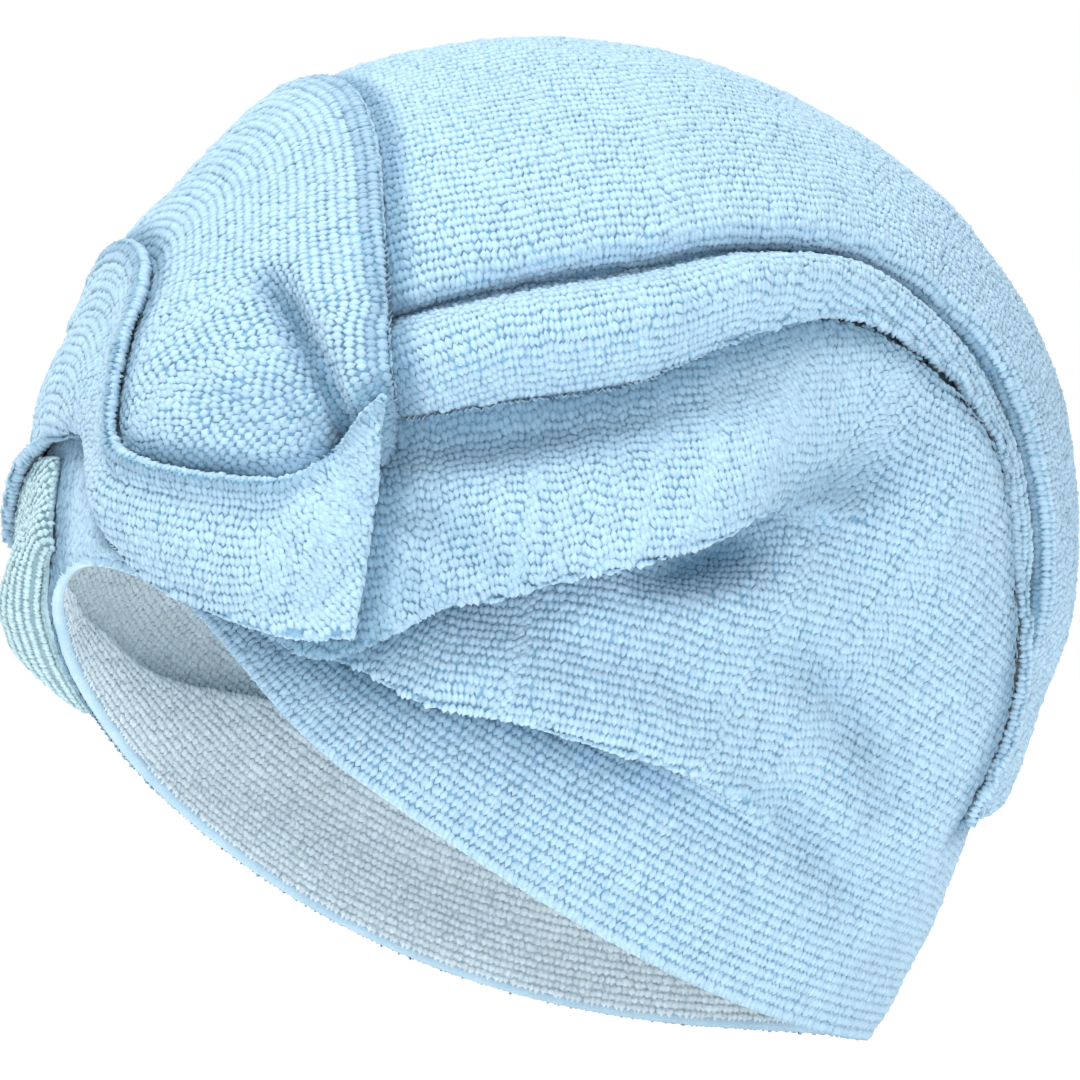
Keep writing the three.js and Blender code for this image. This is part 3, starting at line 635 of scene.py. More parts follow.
def inner_lifts(points, lifts):
    """Lifts of a wall's inner side: as far in as the wall is thick, measured square to its slope."""
    lowest = lifts - WALL
    rows, columns = lifts.shape
    for step in (-3, -2, -1, 1, 2, 3):
        source = np.clip(np.arange(columns) + step, 0, columns - 1)
        away = np.linalg.norm(points[:, source] - points, axis=-1)
        inside = away < WALL
        reach = np.sqrt(np.maximum(WALL**2 - away**2, 0))
        lowest = np.where(inside, np.minimum(lowest, lifts[:, source] - reach), lowest)
    return lowest


def hood_surface():
    """The hood's outer and inner grids, its spots on the form, the way to each lip, and the painted crease
    shade.
    """
    turns = np.linspace(FIRST_TURN, 180 - FIRST_TURN, HOOD_ROWS)
    left_back, left_side = angles_of(laid(hem_point(turns))[0])
    right_back, right_side = angles_of(laid(hem_point(-turns))[0])
    shares = np.r_[np.linspace(-1, -MIDLINE, FINE_ROW[0]), np.linspace(MIDLINE, 1, FINE_ROW[1])]
    back = mix(right_back[:, None], left_back[:, None], (shares + 1) / 2)
    side = np.where(shares > 0, shares * left_side[:, None], -shares * right_side[:, None])
    way = np.sign(shares)[None, :]
    left_lift, right_lift = (laid(hem_point(turn))[1][:, None] for turn in (turns, -turns))
    edge_lift = np.where(way > 0, left_lift, right_lift)
    per_degree = degree_length(back, side)
    near = np.abs(shares)[None, :]
    crown = along(HOOD_GROUND[:, 0], HOOD_GROUND[:, 1], back)
    flank = along(HOOD_GROUND[:, 0], HOOD_GROUND[:, 2], back)
    middle = mix(crown, flank, np.minimum(near / FLANK, 1))
    ends = smooth(back, *BROW_FADE) * (1 - smooth(back, *NAPE_FADE))
    ground = mix(edge_lift, mix(HOOD_LOFT * middle, edge_lift, smooth(near, FLANK, 1)), ends)
    height, lean, crease = np.zeros_like(back), np.zeros_like(back), np.zeros_like(back)
    lips = {}
    for name, (on, steep, width, run) in PLEATS.items():
        run = np.array(run)
        lip = along(run[:, 0], run[:, 1], back)
        past = (near - lip) * np.abs(side / shares) * per_degree * steep
        tall = along(run[:, 0], run[:, 2], back) * PLEAT_HEIGHT * ends
        fallen = np.where(past > 0, smooth(past, 0, STEP_WIDTH), smooth(-past, 0, width * PLEAT_WIDTH))
        here = way == on
        sunk = 0
        if steep > 0:
            sunk = HOLLOW * tall * smooth(past, *HOLLOW_IN) * (1 - smooth(past, *HOLLOW_OUT))
        # painted shade in the hollow under the lip
        dark = smooth(past, *LIP_SHADE_IN) * (1 - smooth(past, *LIP_SHADE_OUT)) * smooth(tall, *LIP_SHADE_HEIGHT)
        crease = np.maximum(crease, np.where(here, dark, 0))
        height += np.where(here, tall * (1 - fallen) - sunk, 0)
        bent = PLEAT_LEAN * np.exp(-((past / LEAN_REACH) ** 2)) * steep * tall / PLEAT_HEIGHT
        lean += np.where(here, bent * way, 0)
        lips[name] = np.where(here, past, OTHER_SIDE)
    form = form_at(direction(back, side))[0]
    free = ends * (1 - smooth(near, *HEM_FADE))
    folds = np.where(way > 0, troughs(form, HOOD_FOLDS), 0)
    # painted shade in the soft folds, by their depth
    full, darkest = HOOD_FOLD_SHADE
    crease = np.maximum(crease, np.clip(folds / full, 0, darkest))
    lift = ground + height + free * (swells(form, HOOD_SWELLS) - folds)
    inner = inner_lifts(form, lift)
    shift = lean / per_degree
    outside = place(back, side + shift * (lift - ground), lift)
    inside = place(back, side + shift * (inner - ground), inner)
    values = np.concatenate([
        outside, inside, back[..., None], side[..., None],
        np.stack([lips[name] for name in PLEATS] + [crease], -1),
    ], -1)
    grid, lengths = evenly(values, HOOD_COLUMNS)
    return {
        "outer": grid[..., :3], "inner": grid[..., 3:6], "back": grid[..., 6], "side": grid[..., 7],
        "lips": {name: grid[..., 8 + at] for at, name in enumerate(PLEATS)},
        "crease": grid[..., -1], "lengths": lengths,
    }


hood_shape = hood_surface()
hood_outer, hood_inner = hood_shape["outer"], hood_shape["inner"]
hood = cloth_shell(
    "hood_cloth", hood_outer, hood_inner, hood_shape["crease"], face_towelling, inner_ground,
    HOOD_UNDER_SHADE)
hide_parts("hood")


# Temple fold
# The towel's other face, with finer ribs and a little greener, folded over the right brow beside the hem.
# It lies on the hood, and the wrap above holds it down.
TEMPLE_LOFT = 15.0
TEMPLE_SIZE = (48, 30)
TEMPLE_SWELLS = [(14.0, 30, 0.5)]
TEMPLE_ROWS = [
    # backA, sideA, backB, sideB, edge, crest, top
    [7, -20, 15, -12, 0.62, 0.64, 0.44],
    [8, -62, 19, -44, 0.78, 0.86, 0.46],
    [13, -86, 24, -66, 0.86, 1.00, 0.50],
    [22, -94, 31, -78, 0.80, 0.96, 0.52],
    [31, -97, 37, -85, 0.62, 0.76, 0.54],
    [38, -98, 42, -89, 0.48, 0.56, 0.50],
]
REVERSE_COLOURS = (0.20, 0.33, 0.38), (0.40, 0.58, 0.64), (0.50, 0.68, 0.73)
reverse_towelling = towelling("reverse_towelling", REVERSE_COLOURS, 1300.0)

# A band of cloth lies on the layers below it, with its cut edges turned down.
NEAR_ENOUGH = 2.6  # within this, a spot takes the full height of the cloth below
FAR_ENOUGH = 14.0  # and past this, none of it
FADE_SLOPE = 1.3
EDGE_ROUND = 1.5
EDGE_STEPS = np.array([0, 0.25, 0.6, 1.0, 1.5])  # close points at an edge, in millimetres
EDGE_REACH = 2.2
WIDER = 1.1  # a band over the width that it has on the form
GUIDE_STEPS = 400
FINE_ACROSS = 420
FLOOR_GRID = (90, 56)
NO_CLOTH = -99.0
AT_ONCE = 150  # how many spots are compared with the cloth below in one go
TINY = 1e-3


def sample(grid, row, column):
    """A grid's values at places between its rows and columns."""
    top = np.clip(row.astype(int), 0, grid.shape[0] - 2)
    left = np.clip(column.astype(int), 0, grid.shape[1] - 2)
    down, across = (row - top)[:, None], (column - left)[:, None]
    upper = grid[top, left] * (1 - across) + grid[top, left + 1] * across
    lower = grid[top + 1, left] * (1 - across) + grid[top + 1, left + 1] * across
    return upper * (1 - down) + lower * down


def highest_below(spots, layers):
    """The highest cloth laid near each spot, fading away from it at a gentle slope."""
    highest = np.full(len(spots), NO_CLOTH)
    for feet, lifts in layers:
        for start in range(0, len(spots), AT_ONCE):
            part = spots[start:start + AT_ONCE]
            away = np.sqrt(np.maximum(
                (part**2).sum(-1)[:, None] + (feet**2).sum(-1)[None, :] - 2 * part @ feet.T, 0))
            fading = lifts - FADE_SLOPE * np.maximum(away - NEAR_ENOUGH, 0)
            fading = np.where(away <= FAR_ENOUGH, fading, NO_CLOTH).max(axis=1)
            highest[start:start + AT_ONCE] = np.maximum(highest[start:start + AT_ONCE], fading)
    return highest


def stretch_grid(coarse, rows, columns):
    """A coarse grid of values read at finer rows and columns, both from 0 to 1."""
    down = np.linspace(0, 1, coarse.shape[0])
    across = np.linspace(0, 1, coarse.shape[1])
    wide = np.array([np.interp(columns, across, line) for line in coarse])
    return np.array([np.interp(rows, down, wide[:, at]) for at in range(len(columns))]).T


def edge_spots(length, count):
    """Distances along a length: a few close ones at both ends, and even ones between."""
    between = np.linspace(EDGE_REACH, length - EDGE_REACH, count - 2 * len(EDGE_STEPS))
    return np.r_[EDGE_STEPS, between, (length - EDGE_STEPS)[::-1]]


def leaning(start, end, shares, lift):
    """Points at shares of the way from start to end, as far above the form as lift says."""
    ray = unit(start[:, None, :] * (1 - shares)[..., None] + end[:, None, :] * shares[..., None])
    point, normal = form_at(ray)
    return point + normal * lift[..., None]


def cloth_band(rows, heights, loft, layers, size, uneven, rolls=(2.5, 2.5, 2.5), folds=()):
    """The outer and inner grids of a band, and what each of their places is.

    rows holds backA, sideA, backB, sideB and the heights' own columns. heights gives the shares and
    heights of a section from those columns. uneven and folds raise and sink the cloth a little, by swells
    and by troughs. rolls are how far in from A, from B and from the two ends the cloth turns down on to
    what it lies on.
    """
    table = np.array(rows, float)
    numbers = np.arange(len(table), dtype=float)
    count_down, count_across = size
    guide = [direction(*(along(numbers, table[:, c], numbers) for c in pair)) for pair in ((0, 1), (2, 3))]
    middle = form_at(unit(guide[0] + guide[1]))[0]
    dense = np.linspace(0, numbers[-1], GUIDE_STEPS)
    path = np.stack([along(numbers, middle[:, axis], dense) for axis in range(3)], -1)
    arc = distances(path)
    at = np.interp(edge_spots(arc[-1], count_down), arc, dense)
    read = [along(numbers, table[:, column], at) for column in range(table.shape[1])]
    start, end = direction(read[0], read[1]), direction(read[2], read[3])
    shares = np.linspace(0, 1, FINE_ACROSS)
    ray = unit(start[:, None, :] * (1 - shares)[None, :, None] + end[:, None, :] * shares[None, :, None])
    ground, normal = form_at(ray)
    sections = [heights([column[row] for column in read[4:]]) for row in range(len(at))]
    height = np.array([along(section[0], section[1], shares) for section in sections]) * loft
    coarse_down = np.linspace(0, 1, FLOOR_GRID[0]) * (len(at) - 1)
    coarse_across = np.linspace(0, 1, FLOOR_GRID[1]) * (FINE_ACROSS - 1)
    down, across = (grid.ravel() for grid in np.meshgrid(coarse_down, coarse_across, indexing="ij"))
    floors = highest_below(sample(ground, down, across), layers).reshape(FLOOR_GRID)
    floor_lift = stretch_grid(floors, np.linspace(0, 1, len(at)), shares) + CLEARANCE
    relief = swells(ground, uneven) - troughs(ground, folds)
    lift = np.maximum(height + relief, floor_lift + WALL)
    width = np.linalg.norm(ground[:, -1] - ground[:, 0], axis=-1)[:, None] * WIDER
    from_end = np.minimum(np.interp(at, dense, arc), arc[-1] - np.interp(at, dense, arc))[:, None]
    for away, roll in zip((shares[None, :] * width, (1 - shares[None, :]) * width, from_end), rolls):
        turned = np.sqrt(1 - np.maximum(1 - away / roll, 0) ** 2)
        lift = floor_lift + WALL + (lift - floor_lift - WALL) * turned
    under = np.maximum(inner_lifts(ground, lift), floor_lift)
    if len(sections[0]) > 2:
        lean = np.array([along(section[0], section[2], shares) for section in sections]) / width
        foot = np.array([min(section[1][:5]) for section in sections])[:, None] * loft
        bent = (lean * np.clip((level - foot) / (lift - foot + TINY), 0, 1.1) for level in (lift, under))
        outside, inside = (
            leaning(start, end, shares - moved, level) for moved, level in zip(bent, (lift, under)))
    else:
        outside, inside = ground + normal * lift[..., None], ground + normal * under[..., None]
    values = np.concatenate([
        outside, inside,
        np.broadcast_to(shares[None, :, None], (len(at), FINE_ACROSS, 1)),
        np.broadcast_to(at[:, None, None], (len(at), FINE_ACROSS, 1)),
    ], -1)
    grid = np.zeros((len(at), count_across, 8))
    lengths = np.zeros(len(at))
    for row, line in enumerate(values):
        row_arc = distances(line[:, :3])
        lengths[row] = row_arc[-1]
        spots = edge_spots(row_arc[-1], count_across)
        for value in range(8):
            grid[row, :, value] = np.interp(spots, row_arc, line[:, value])
    outer, inner = grid[..., :3].copy(), grid[..., 3:6].copy()
    down_arc, across_arc = distances(outer), distances(outer, 1)
    to_end = np.minimum(down_arc, down_arc[-1] - down_arc)
    to_edge = np.minimum(to_end, np.minimum(across_arc, across_arc[:, -1:] - across_arc))
    fall = np.sqrt(np.maximum(1 - np.maximum(1 - to_edge / EDGE_ROUND, 0) ** 2, 0.004))[..., None]
    centre, half = (outer + inner) / 2, (outer - inner) / 2
    outer, inner = centre + half * fall, centre - half * fall
    return {
        "outer": outer, "inner": inner, "normals": grid_normals(outer), "to_edge": to_edge,
        "share": grid[..., 6], "row": grid[..., 7], "across": across_arc,
        "flat": (float(lengths.mean()) * 0.001, float(down_arc[-1].mean()) * 0.001),
        "layer": laid(outer[::2, ::2].reshape(-1, 3)),
        "cover": (laid(outer.reshape(-1, 3))[0], to_edge.ravel()),
    }


hood_layer = laid(hood_outer[::2].reshape(-1, 3))


def temple_heights(row):
    edge, crest, top = row
    return [0, 0.25, 0.8, 1], [edge, crest, top, top]


temple_band = cloth_band(
    TEMPLE_ROWS, temple_heights, TEMPLE_LOFT, [hood_layer], TEMPLE_SIZE, TEMPLE_SWELLS)
temple = cloth_shell(
    "temple_cloth", temple_band["outer"], temple_band["inner"], 0, reverse_towelling, reverse_towelling)
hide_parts("temple_fold")


# Tail
# The flap's wide part. It rises over a side roll, drops into a long crease, laps up on to the crown and
# narrows down the back to the nape button, which holds its end.
TAIL_LOFT = 20.0
TAIL_SIZE = (116, 78)
TAIL_SWELLS = [(34.0, 31, 0.7), (15.0, 32, 0.25)]
TAIL_ROLLS = (5.0, 4.0, 4.0)
TAIL_ROWS = [
    # backA, sideA, backB, sideB, crease, roll, valley, lap, sheet, end
    [43, 49, 45, -26, 0.165, 0.62, 0.52, 0.58, 0.42, 0.38],
    [49, 49, 50, -28, 0.165, 0.94, 0.54, 0.84, 0.58, 0.44],
    [59, 47, 60, -30, 0.165, 1.04, 0.50, 0.94, 0.76, 0.50],
    [71, 43, 72, -31, 0.160, 1.04, 0.50, 0.96, 0.80, 0.56],
    [81, 36, 82, -31, 0.135, 1.00, 0.50, 0.96, 0.82, 0.58],
    [91, 30, 92, -31, 0.105, 0.86, 0.52, 0.94, 0.84, 0.60],
    [103, 28, 104, -31, 0.090, 0.72, 0.60, 0.93, 0.93, 0.62],
    [113, 29, 115, -32, 0.085, 0.70, 0.60, 0.92, 1.02, 0.64],
    [123, 35, 126, -33, 0.090, 0.66, 0.56, 0.82, 0.96, 0.58],
    [131, 42, 135, -36, 0.100, 0.56, 0.48, 0.60, 0.62, 0.45],
    [138, 53, 143, -38, 0.110, 0.46, 0.40, 0.45, 0.42, 0.32],
]


def tail_heights(row):
    """A section's shares, its heights, and how far in millimetres it leans over the side roll."""
    crease, roll, valley, lap, sheet, end = row
    places = [0, crease * 0.3, crease * 0.62, crease]
    places += [mix(crease, 1, share) for share in (0.03, 0.06, 0.12, 0.5, 0.93)] + [1]
    rise = [valley, roll * 0.97, roll, valley, mix(valley, lap, 0.85)]
    rise += [lap, lap, sheet, mix(sheet, end, 0.6), end]
    return places, rise, [0, 0, 0, 1, 5, 5, 4, 0, 0, 0]


tail_band = cloth_band(
    TAIL_ROWS, tail_heights, TAIL_LOFT, [hood_layer], TAIL_SIZE, TAIL_SWELLS, TAIL_ROLLS)
tail = cloth_shell(
    "tail_cloth", tail_band["outer"], tail_band["inner"], 0, face_towelling, inner_towelling)
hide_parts("tail")


# Front lobe
# The flap's first turn out of the knot, a puffed lobe with a sewn double seam along its free edge. Its
# front edge is tucked under the wrap.
LOBE_LOFT = 24.0
LOBE_SIZE = (88, 50)
LOBE_SWELLS = [(24.0, 33, 0.5)]
LOBE_ROLLS = (4.0, 2.0, 3.0)
LOBE_ROWS = [
    # backA, sideA, backB, sideB, fold, front, belly, dip, seam
    [34, -33, 52, -36, 0.60, 0.30, 0.42, 0.42, 0.44],
    [29, -15, 52, -15, 0.60, 0.30, 0.46, 0.47, 0.48],
    [26, 7, 52, 6, 0.60, 0.30, 0.52, 0.54, 0.58],
    [21, 19, 51, 18, 0.60, 0.32, 0.63, 0.66, 0.72],
    [18.5, 29, 49.5, 29, 0.60, 0.34, 0.84, 0.82, 0.90],
    [17.5, 39, 48.5, 39, 0.66, 0.34, 1.00, 0.86, 1.00],
    [19, 49, 48.5, 47, 0.75, 0.34, 0.98, 0.76, 0.94],
    [26, 58, 48, 52, 0.80, 0.34, 0.80, 0.62, 0.78],
    [35, 63, 46, 56, 0.74, 0.36, 0.56, 0.50, 0.56],
]
LOBE_FOLDS = [
    ([[38.5, 30, 1], [40, 35, 9], [41.5, 42, 12], [43.5, 50, 11], [45, 57, 6]], 2.7),
    ([[41, 29, 0], [43, 35, -2.5], [44.5, 42, -3], [45.5, 50, -2], [46, 55, 0]], 4.0),
    ([[36, 40, 0], [39, 48, 2.5], [42, 54, 3]], 3.0),
    ([[30, 36, 0], [34, 46, 2], [39, 54, 2]], 3.5),
]


def lobe_heights(row):
    fold, front, belly, dip, seam = row
    return [0, fold * 0.55, fold, mix(fold, 1, 0.45), 1], [front, belly, dip, mix(dip, seam, 0.8), seam]


lobe_band = cloth_band(
    LOBE_ROWS, lobe_heights, LOBE_LOFT, [hood_layer, tail_band["layer"]], LOBE_SIZE,
    LOBE_SWELLS, LOBE_ROLLS, LOBE_FOLDS)
lobe = cloth_shell(
    "lobe_cloth", lobe_band["outer"], lobe_band["inner"], 0, face_towelling, inner_towelling)
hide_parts("front_lobe")


# Forehead wrap
# The flap's narrow start, wound over the brow from the right and over the lobe's foot, with a sewn double
# ridge along its upper edge.
WRAP_LOFT = 19.0
WRAP_SIZE = (112, 48)
WRAP_SWELLS = [(19.0, 34, 0.5)]
WRAP_ROLLS = (6.5, 4.5, 10.0)
WRAP_ROWS = [
    # backA, sideA, backB, sideB, ridge, middle, hem
    [46, -78, 36, -86, 0.48, 0.52, 0.44],
    [40, -60, 25, -72, 0.50, 0.54, 0.46],
    [36, -36, 19, -48, 0.50, 0.55, 0.48],
    [34, -10, 17, -14, 0.46, 0.56, 0.52],
    [31, 12, 17, 14, 0.56, 0.66, 0.58],
    [26, 27, 15.5, 32, 0.70, 0.77, 0.62],
    [22, 39, 15, 46, 0.90, 0.86, 0.64],
    [25, 49, 16.5, 60, 0.94, 0.90, 0.66],
    [31, 55, 21, 73, 0.98, 0.98, 0.66],
    [38, 57, 30, 79, 1.00, 1.00, 0.74],
    [43, 54, 37, 80, 1.00, 1.00, 0.82],
    [46, 51, 42, 79, 0.88, 0.94, 0.84],
    [48, 49, 46, 77, 0.62, 0.74, 0.76],
]


def wrap_heights(row):
    ridge, middle, hem = row
    rise = [ridge * 0.94, ridge, ridge * 0.95, middle, mix(middle, hem, 0.5), hem]
    return [0, 0.08, 0.17, 0.5, 0.85, 1], rise


wrap_band = cloth_band(
    WRAP_ROWS, wrap_heights, WRAP_LOFT,
    [hood_layer, temple_band["layer"], tail_band["layer"], lobe_band["layer"]], WRAP_SIZE,
    WRAP_SWELLS, WRAP_ROLLS)
wrap = cloth_shell(
    "wrap_cloth", wrap_band["outer"], wrap_band["inner"], 0, face_towelling, inner_towelling)
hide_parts("forehead_wrap")


# Hood loops
# The pile on the hood's face. Its rows follow the hem and start again above each lapped lip, in line with
# the fold, because the cloth was laid so. The inside has the same loops, shorter and flatter.
ROW_PITCH = 2.35
LOOP_PITCH = 1.32
LOOP_HEIGHT = 0.85
LOOP_SIZE = (1.6, 2.8)  # along its row, and across it
LOOP_SIDES = 4
LOOP_FOOT = (0.68, 0.6, -0.12)  # half length, half width and level, as shares of the size and height
LOOP_WAIST = (0.56, 0.5, 0.66)
LOOP_SCATTER = 0.2  # a share of the pitch
LOOP_TURN = 9.0  # degrees
LOOP_VARIES = (0.12, 0.08, 0.17)  # shares of the length, width and height
LOOP_TIP = 0.16
LOOP_ROUGH = 0.07
UNDER_NEAR = 3.0  # a loop is covered if this near to an upper band
UNDER_DEEP = 5.5  # and this far in from its edge
# Painted shade on loops close to where an upper band lies on them.
COVER_SHADE = 0.64  # how dark the loops are where a band lies on them
MIDDLE_GAP = 0.4  # degrees of side that the hood's loops stay clear of its middle
LIP_GAP = 0.2
HOOD_SHADE_REACH = 10.0
BAND_SHADE_REACH = 7.0
LEFT_LIPS = {"low": 47.0, "middle": 103.0}  # how far from the hem each lip's rows count from
RIGHT_LIPS = {"far_low": 40.0, "far_middle": 84.0}
INNER_REACH = 64.0  # only this far up from the far hem does the inside show
INNER_PITCH = (2.0, 1.45)
INNER_SIZE = (1.7, 2.2)
INNER_HEIGHT = 0.7


def loop_shape():
    """One loop as a low four-sided pillow: a foot, a waist and a top, and its faces."""
    angles = np.radians(np.arange(LOOP_SIDES) * 360.0 / LOOP_SIDES)
    foot, waist = (
        np.stack([long * np.cos(angles), wide * np.sin(angles), np.full(LOOP_SIDES, level)], -1)
        for long, wide, level in (LOOP_FOOT, LOOP_WAIST))
    corners = np.concatenate([foot, waist, [[0, 0, 1.0]]])
    faces = []
    for side in range(LOOP_SIDES):
        after = (side + 1) % LOOP_SIDES
        above, above_after = LOOP_SIDES + side, LOOP_SIDES + after
        faces += [[side, after, above_after], [side, above_after, above]]
        faces.append([above, above_after, 2 * LOOP_SIDES])
    return corners, np.array(faces)


def rows_of_loops(points, across, row_pitch, loop_pitch, seed):
    """The places of loops on a grid, in rows of equal across, as row and column numbers."""
    rng = np.random.default_rng(seed)
    columns = np.arange(points.shape[1])
    first, last = across.min(), across.max()
    spots = []
    for number in range(math.ceil(first / row_pitch), math.floor(last / row_pitch) + 1):
        level = number * row_pitch
        there = (across[:, 0] <= level) & (across[:, -1] >= level)
        at = np.array([np.interp(level, line, columns) for line in across])
        edges = np.flatnonzero(np.diff(np.r_[0, there.astype(int), 0]))
        for start, end in zip(edges[::2], edges[1::2]):
            if end - start < 2:
                continue
            row = np.arange(start, end, dtype=float)
            path = sample(points, row, at[start:end])
            arc = distances(path)
            stops = np.arange((number % 2) * loop_pitch / 2 + 0.4, arc[-1], loop_pitch)
            if not len(stops):
                continue
            moved = rng.uniform(-LOOP_SCATTER, LOOP_SCATTER, len(stops)) * loop_pitch
            spot_rows = np.interp(np.clip(stops + moved, 0, arc[-1]), arc, row)
            line = at[start:end]
            spot_columns = np.interp(spot_rows, row, line)
            slopes = np.interp(spot_rows, row, np.gradient(line))
            spots.append(np.stack([spot_rows, spot_columns, slopes], -1))
    return np.concatenate(spots)


def stand(points, normals, spots, crease):
    """Where loops stand on a grid of points, the ways that are up and along their row, and their painted
    shade.
    """
    row, column, slope = spots.T
    where = sample(points, row, column)
    up = unit(sample(normals, row, column))
    ahead = sample(points, row + 0.5, column + 0.5 * slope) - sample(points, row - 0.5, column - 0.5 * slope)
    return where, up, ahead, crease


def pile(name, stands, size, height, material, seed):
    """A joined mesh of loops that stand in given places."""
    where, up, ahead, crease = (np.concatenate([group[part] for group in stands]) for part in range(4))
    rng = np.random.default_rng(seed)
    ahead = unit(ahead - (ahead * up).sum(-1, keepdims=True) * up)
    beside = np.cross(up, ahead)
    count = len(where)
    spin = np.radians(rng.normal(0, LOOP_TURN, count))[:, None]
    cosine, sine = np.cos(spin), np.sin(spin)
    ahead, beside = ahead * cosine + beside * sine, beside * cosine - ahead * sine
    corners, faces = loop_shape()
    long, wide, tall = (
        length * rng.normal(1, varies, (count, 1, 1))
        for length, varies in zip((*size, height), LOOP_VARIES))
    tip = rng.normal(0, LOOP_TIP, (count, 2, 1))
    leaning = np.maximum(corners[None, :, 2:3], 0)
    x = corners[None, :, 0:1] * long + leaning * tip[:, :1]
    y = corners[None, :, 1:2] * wide + leaning * tip[:, 1:]
    z = corners[None, :, 2:3] * tall
    places = where[:, None, :] + ahead[:, None, :] * x + beside[:, None, :] * y + up[:, None, :] * z
    shade = np.zeros((count, len(corners), 3))
    # The height in the loop picks the colour: darker feet partly painted shade, lighter tips a painted
    # highlight.
    shade[..., 0] = np.clip((corners[:, 2] + 0.1) / 1.1, 0, 1)
    shade[..., 1] = rng.uniform(0, 1, (count, 1))
    all_faces = (np.arange(count)[:, None, None] * len(corners) + faces).reshape(-1, 3)
    # painted crease shade, the same over the whole loop
    shade[..., 2] = crease[:, None]
    flat = (places + rng.normal(0, LOOP_ROUGH, places.shape)).reshape(-1, 3)
    first = flat[all_faces]
    turned = np.cross(first[:, 1] - first[:, 0], first[:, 2] - first[:, 0])
    if (turned.reshape(count, -1, 3).sum(1) * up).sum() < 0:
        all_faces = all_faces[:, ::-1]
    return make_mesh(name, flat, all_faces, material, shade.reshape(-1, 3))


def uncovered(points, covers, reach=BAND_SHADE_REACH):
    """Which points don't lie more than a little way under an upper band, and their painted shade near one.
    """
    feet = laid(points)[0]
    free = np.ones(len(points), bool)
    close = np.zeros(len(points))
    for band_feet, to_edge in covers:
        tree = KDTree(len(band_feet))
        for number, foot in enumerate(band_feet):
            tree.insert(foot, number)
        tree.balance()
        for number, foot in enumerate(feet):
            if free[number]:
                _, nearest, away = tree.find(foot)
                free[number] = not (away < UNDER_NEAR and to_edge[nearest] > UNDER_DEEP)
                # painted shade near an upper band
                close[number] = max(close[number], 1 - smooth(away, 2.0, reach))
    return free, close


def free_stand(points, normals, spots, covering, crease, reach=BAND_SHADE_REACH):
    """The stand of the loops that no upper band covers, with painted shade near one and in creases."""
    free, close = uncovered(sample(points, spots[:, 0], spots[:, 1]), covering, reach)
    painted_shade = np.maximum(close * COVER_SHADE, sample(crease, spots[:, 0], spots[:, 1])[:, 0])
    return stand(points, normals, spots[free], painted_shade[free])


def side_loops(way, lips):
    """The loops of one side of the hood, panel by panel, from the hem up to the middle of the crown."""
    turned = (slice(None), slice(None, None, -way))
    arc = np.abs(hood_lengths[:, None] - hood_steps[turned]) if way > 0 else hood_steps
    points = hood_outer[turned]
    side = (hood_shape["side"] * way)[turned]
    names = list(lips)
    shift = np.zeros(len(arc))
    spots = []
    for number in range(len(names) + 1):
        across = arc + shift[:, None]
        found = rows_of_loops(points, across, ROW_PITCH, LOOP_PITCH, 20 + number)
        keep = sample(side[..., None], *found[:, :2].T)[:, 0] > MIDDLE_GAP
        if number > 0:
            below = hood_shape["lips"][names[number - 1]][turned]
            keep &= sample(below[..., None], *found[:, :2].T)[:, 0] < -LIP_GAP
        if number < len(names):
            above = hood_shape["lips"][names[number]][turned]
            keep &= sample(above[..., None], *found[:, :2].T)[:, 0] > -LIP_GAP
        spots.append(found[keep])
        if number < len(names):
            lip = np.arange(len(across)), np.argmin(np.abs(above), axis=1)
            run = np.array(PLEATS[names[number]][3])
            held = smooth(along(run[:, 0], run[:, 2], hood_shape["back"][turned][lip]), 0.0, 0.35)
            shift = shift + (lips[names[number]] - across[lip]) * held
    return points, hood_normals[turned], np.concatenate(spots), hood_shape["crease"][turned][..., None]


hood_covers = [temple_band["cover"], tail_band["cover"], lobe_band["cover"], wrap_band["cover"]]
hood_normals = grid_normals(hood_outer)
hood_lengths = hood_shape["lengths"]
hood_steps = np.linspace(0, 1, HOOD_COLUMNS)[None, :] * hood_lengths[:, None]
for name, way, lips in (("hood_loops_left", 1, LEFT_LIPS), ("hood_loops_right", -1, RIGHT_LIPS)):
    points, normals, spots, crease = side_loops(way, lips)
    free = free_stand(points, normals, spots, hood_covers, crease, HOOD_SHADE_REACH)
    pile(name, [free], LOOP_SIZE, LOOP_HEIGHT, face_towelling, 40)

inner_spots = rows_of_loops(hood_inner, hood_steps, *INNER_PITCH, 60)
inner_up = sample(hood_steps[..., None], inner_spots[:, 0], inner_spots[:, 1])[:, 0]
inner_spots = inner_spots[inner_up < INNER_REACH]
inner_stand = stand(hood_inner, -grid_normals(hood_inner), inner_spots, np.zeros(len(inner_spots)))
pile("hood_loops_inside", [inner_stand], INNER_SIZE, INNER_HEIGHT, inner_towelling, 61)


# Tail loops
# The same pile on the flap. Its rows run along the crease beside the side roll, and rounded loops stand out
# from the cut edges.
FIRST_ROW = 400.0  # rows that are counted before the crease, so that their numbers stay above 0
# How far the painted shade reaches either side of the crease, and its strength.
TAIL_CREASE_REACH = (0.5, 4.5)
TAIL_CREASE_SHADE = 0.9
TAIL_HALVES = [
    # name, from share, to share, with its rim
    ("tail_loops_left", 0, 0.5, True),
    ("tail_loops_right", 0.5, 1.01, False),
]


def points_along(line, arc, stops):
    return np.stack([np.interp(stops, arc, line[:, axis]) for axis in range(3)], -1)


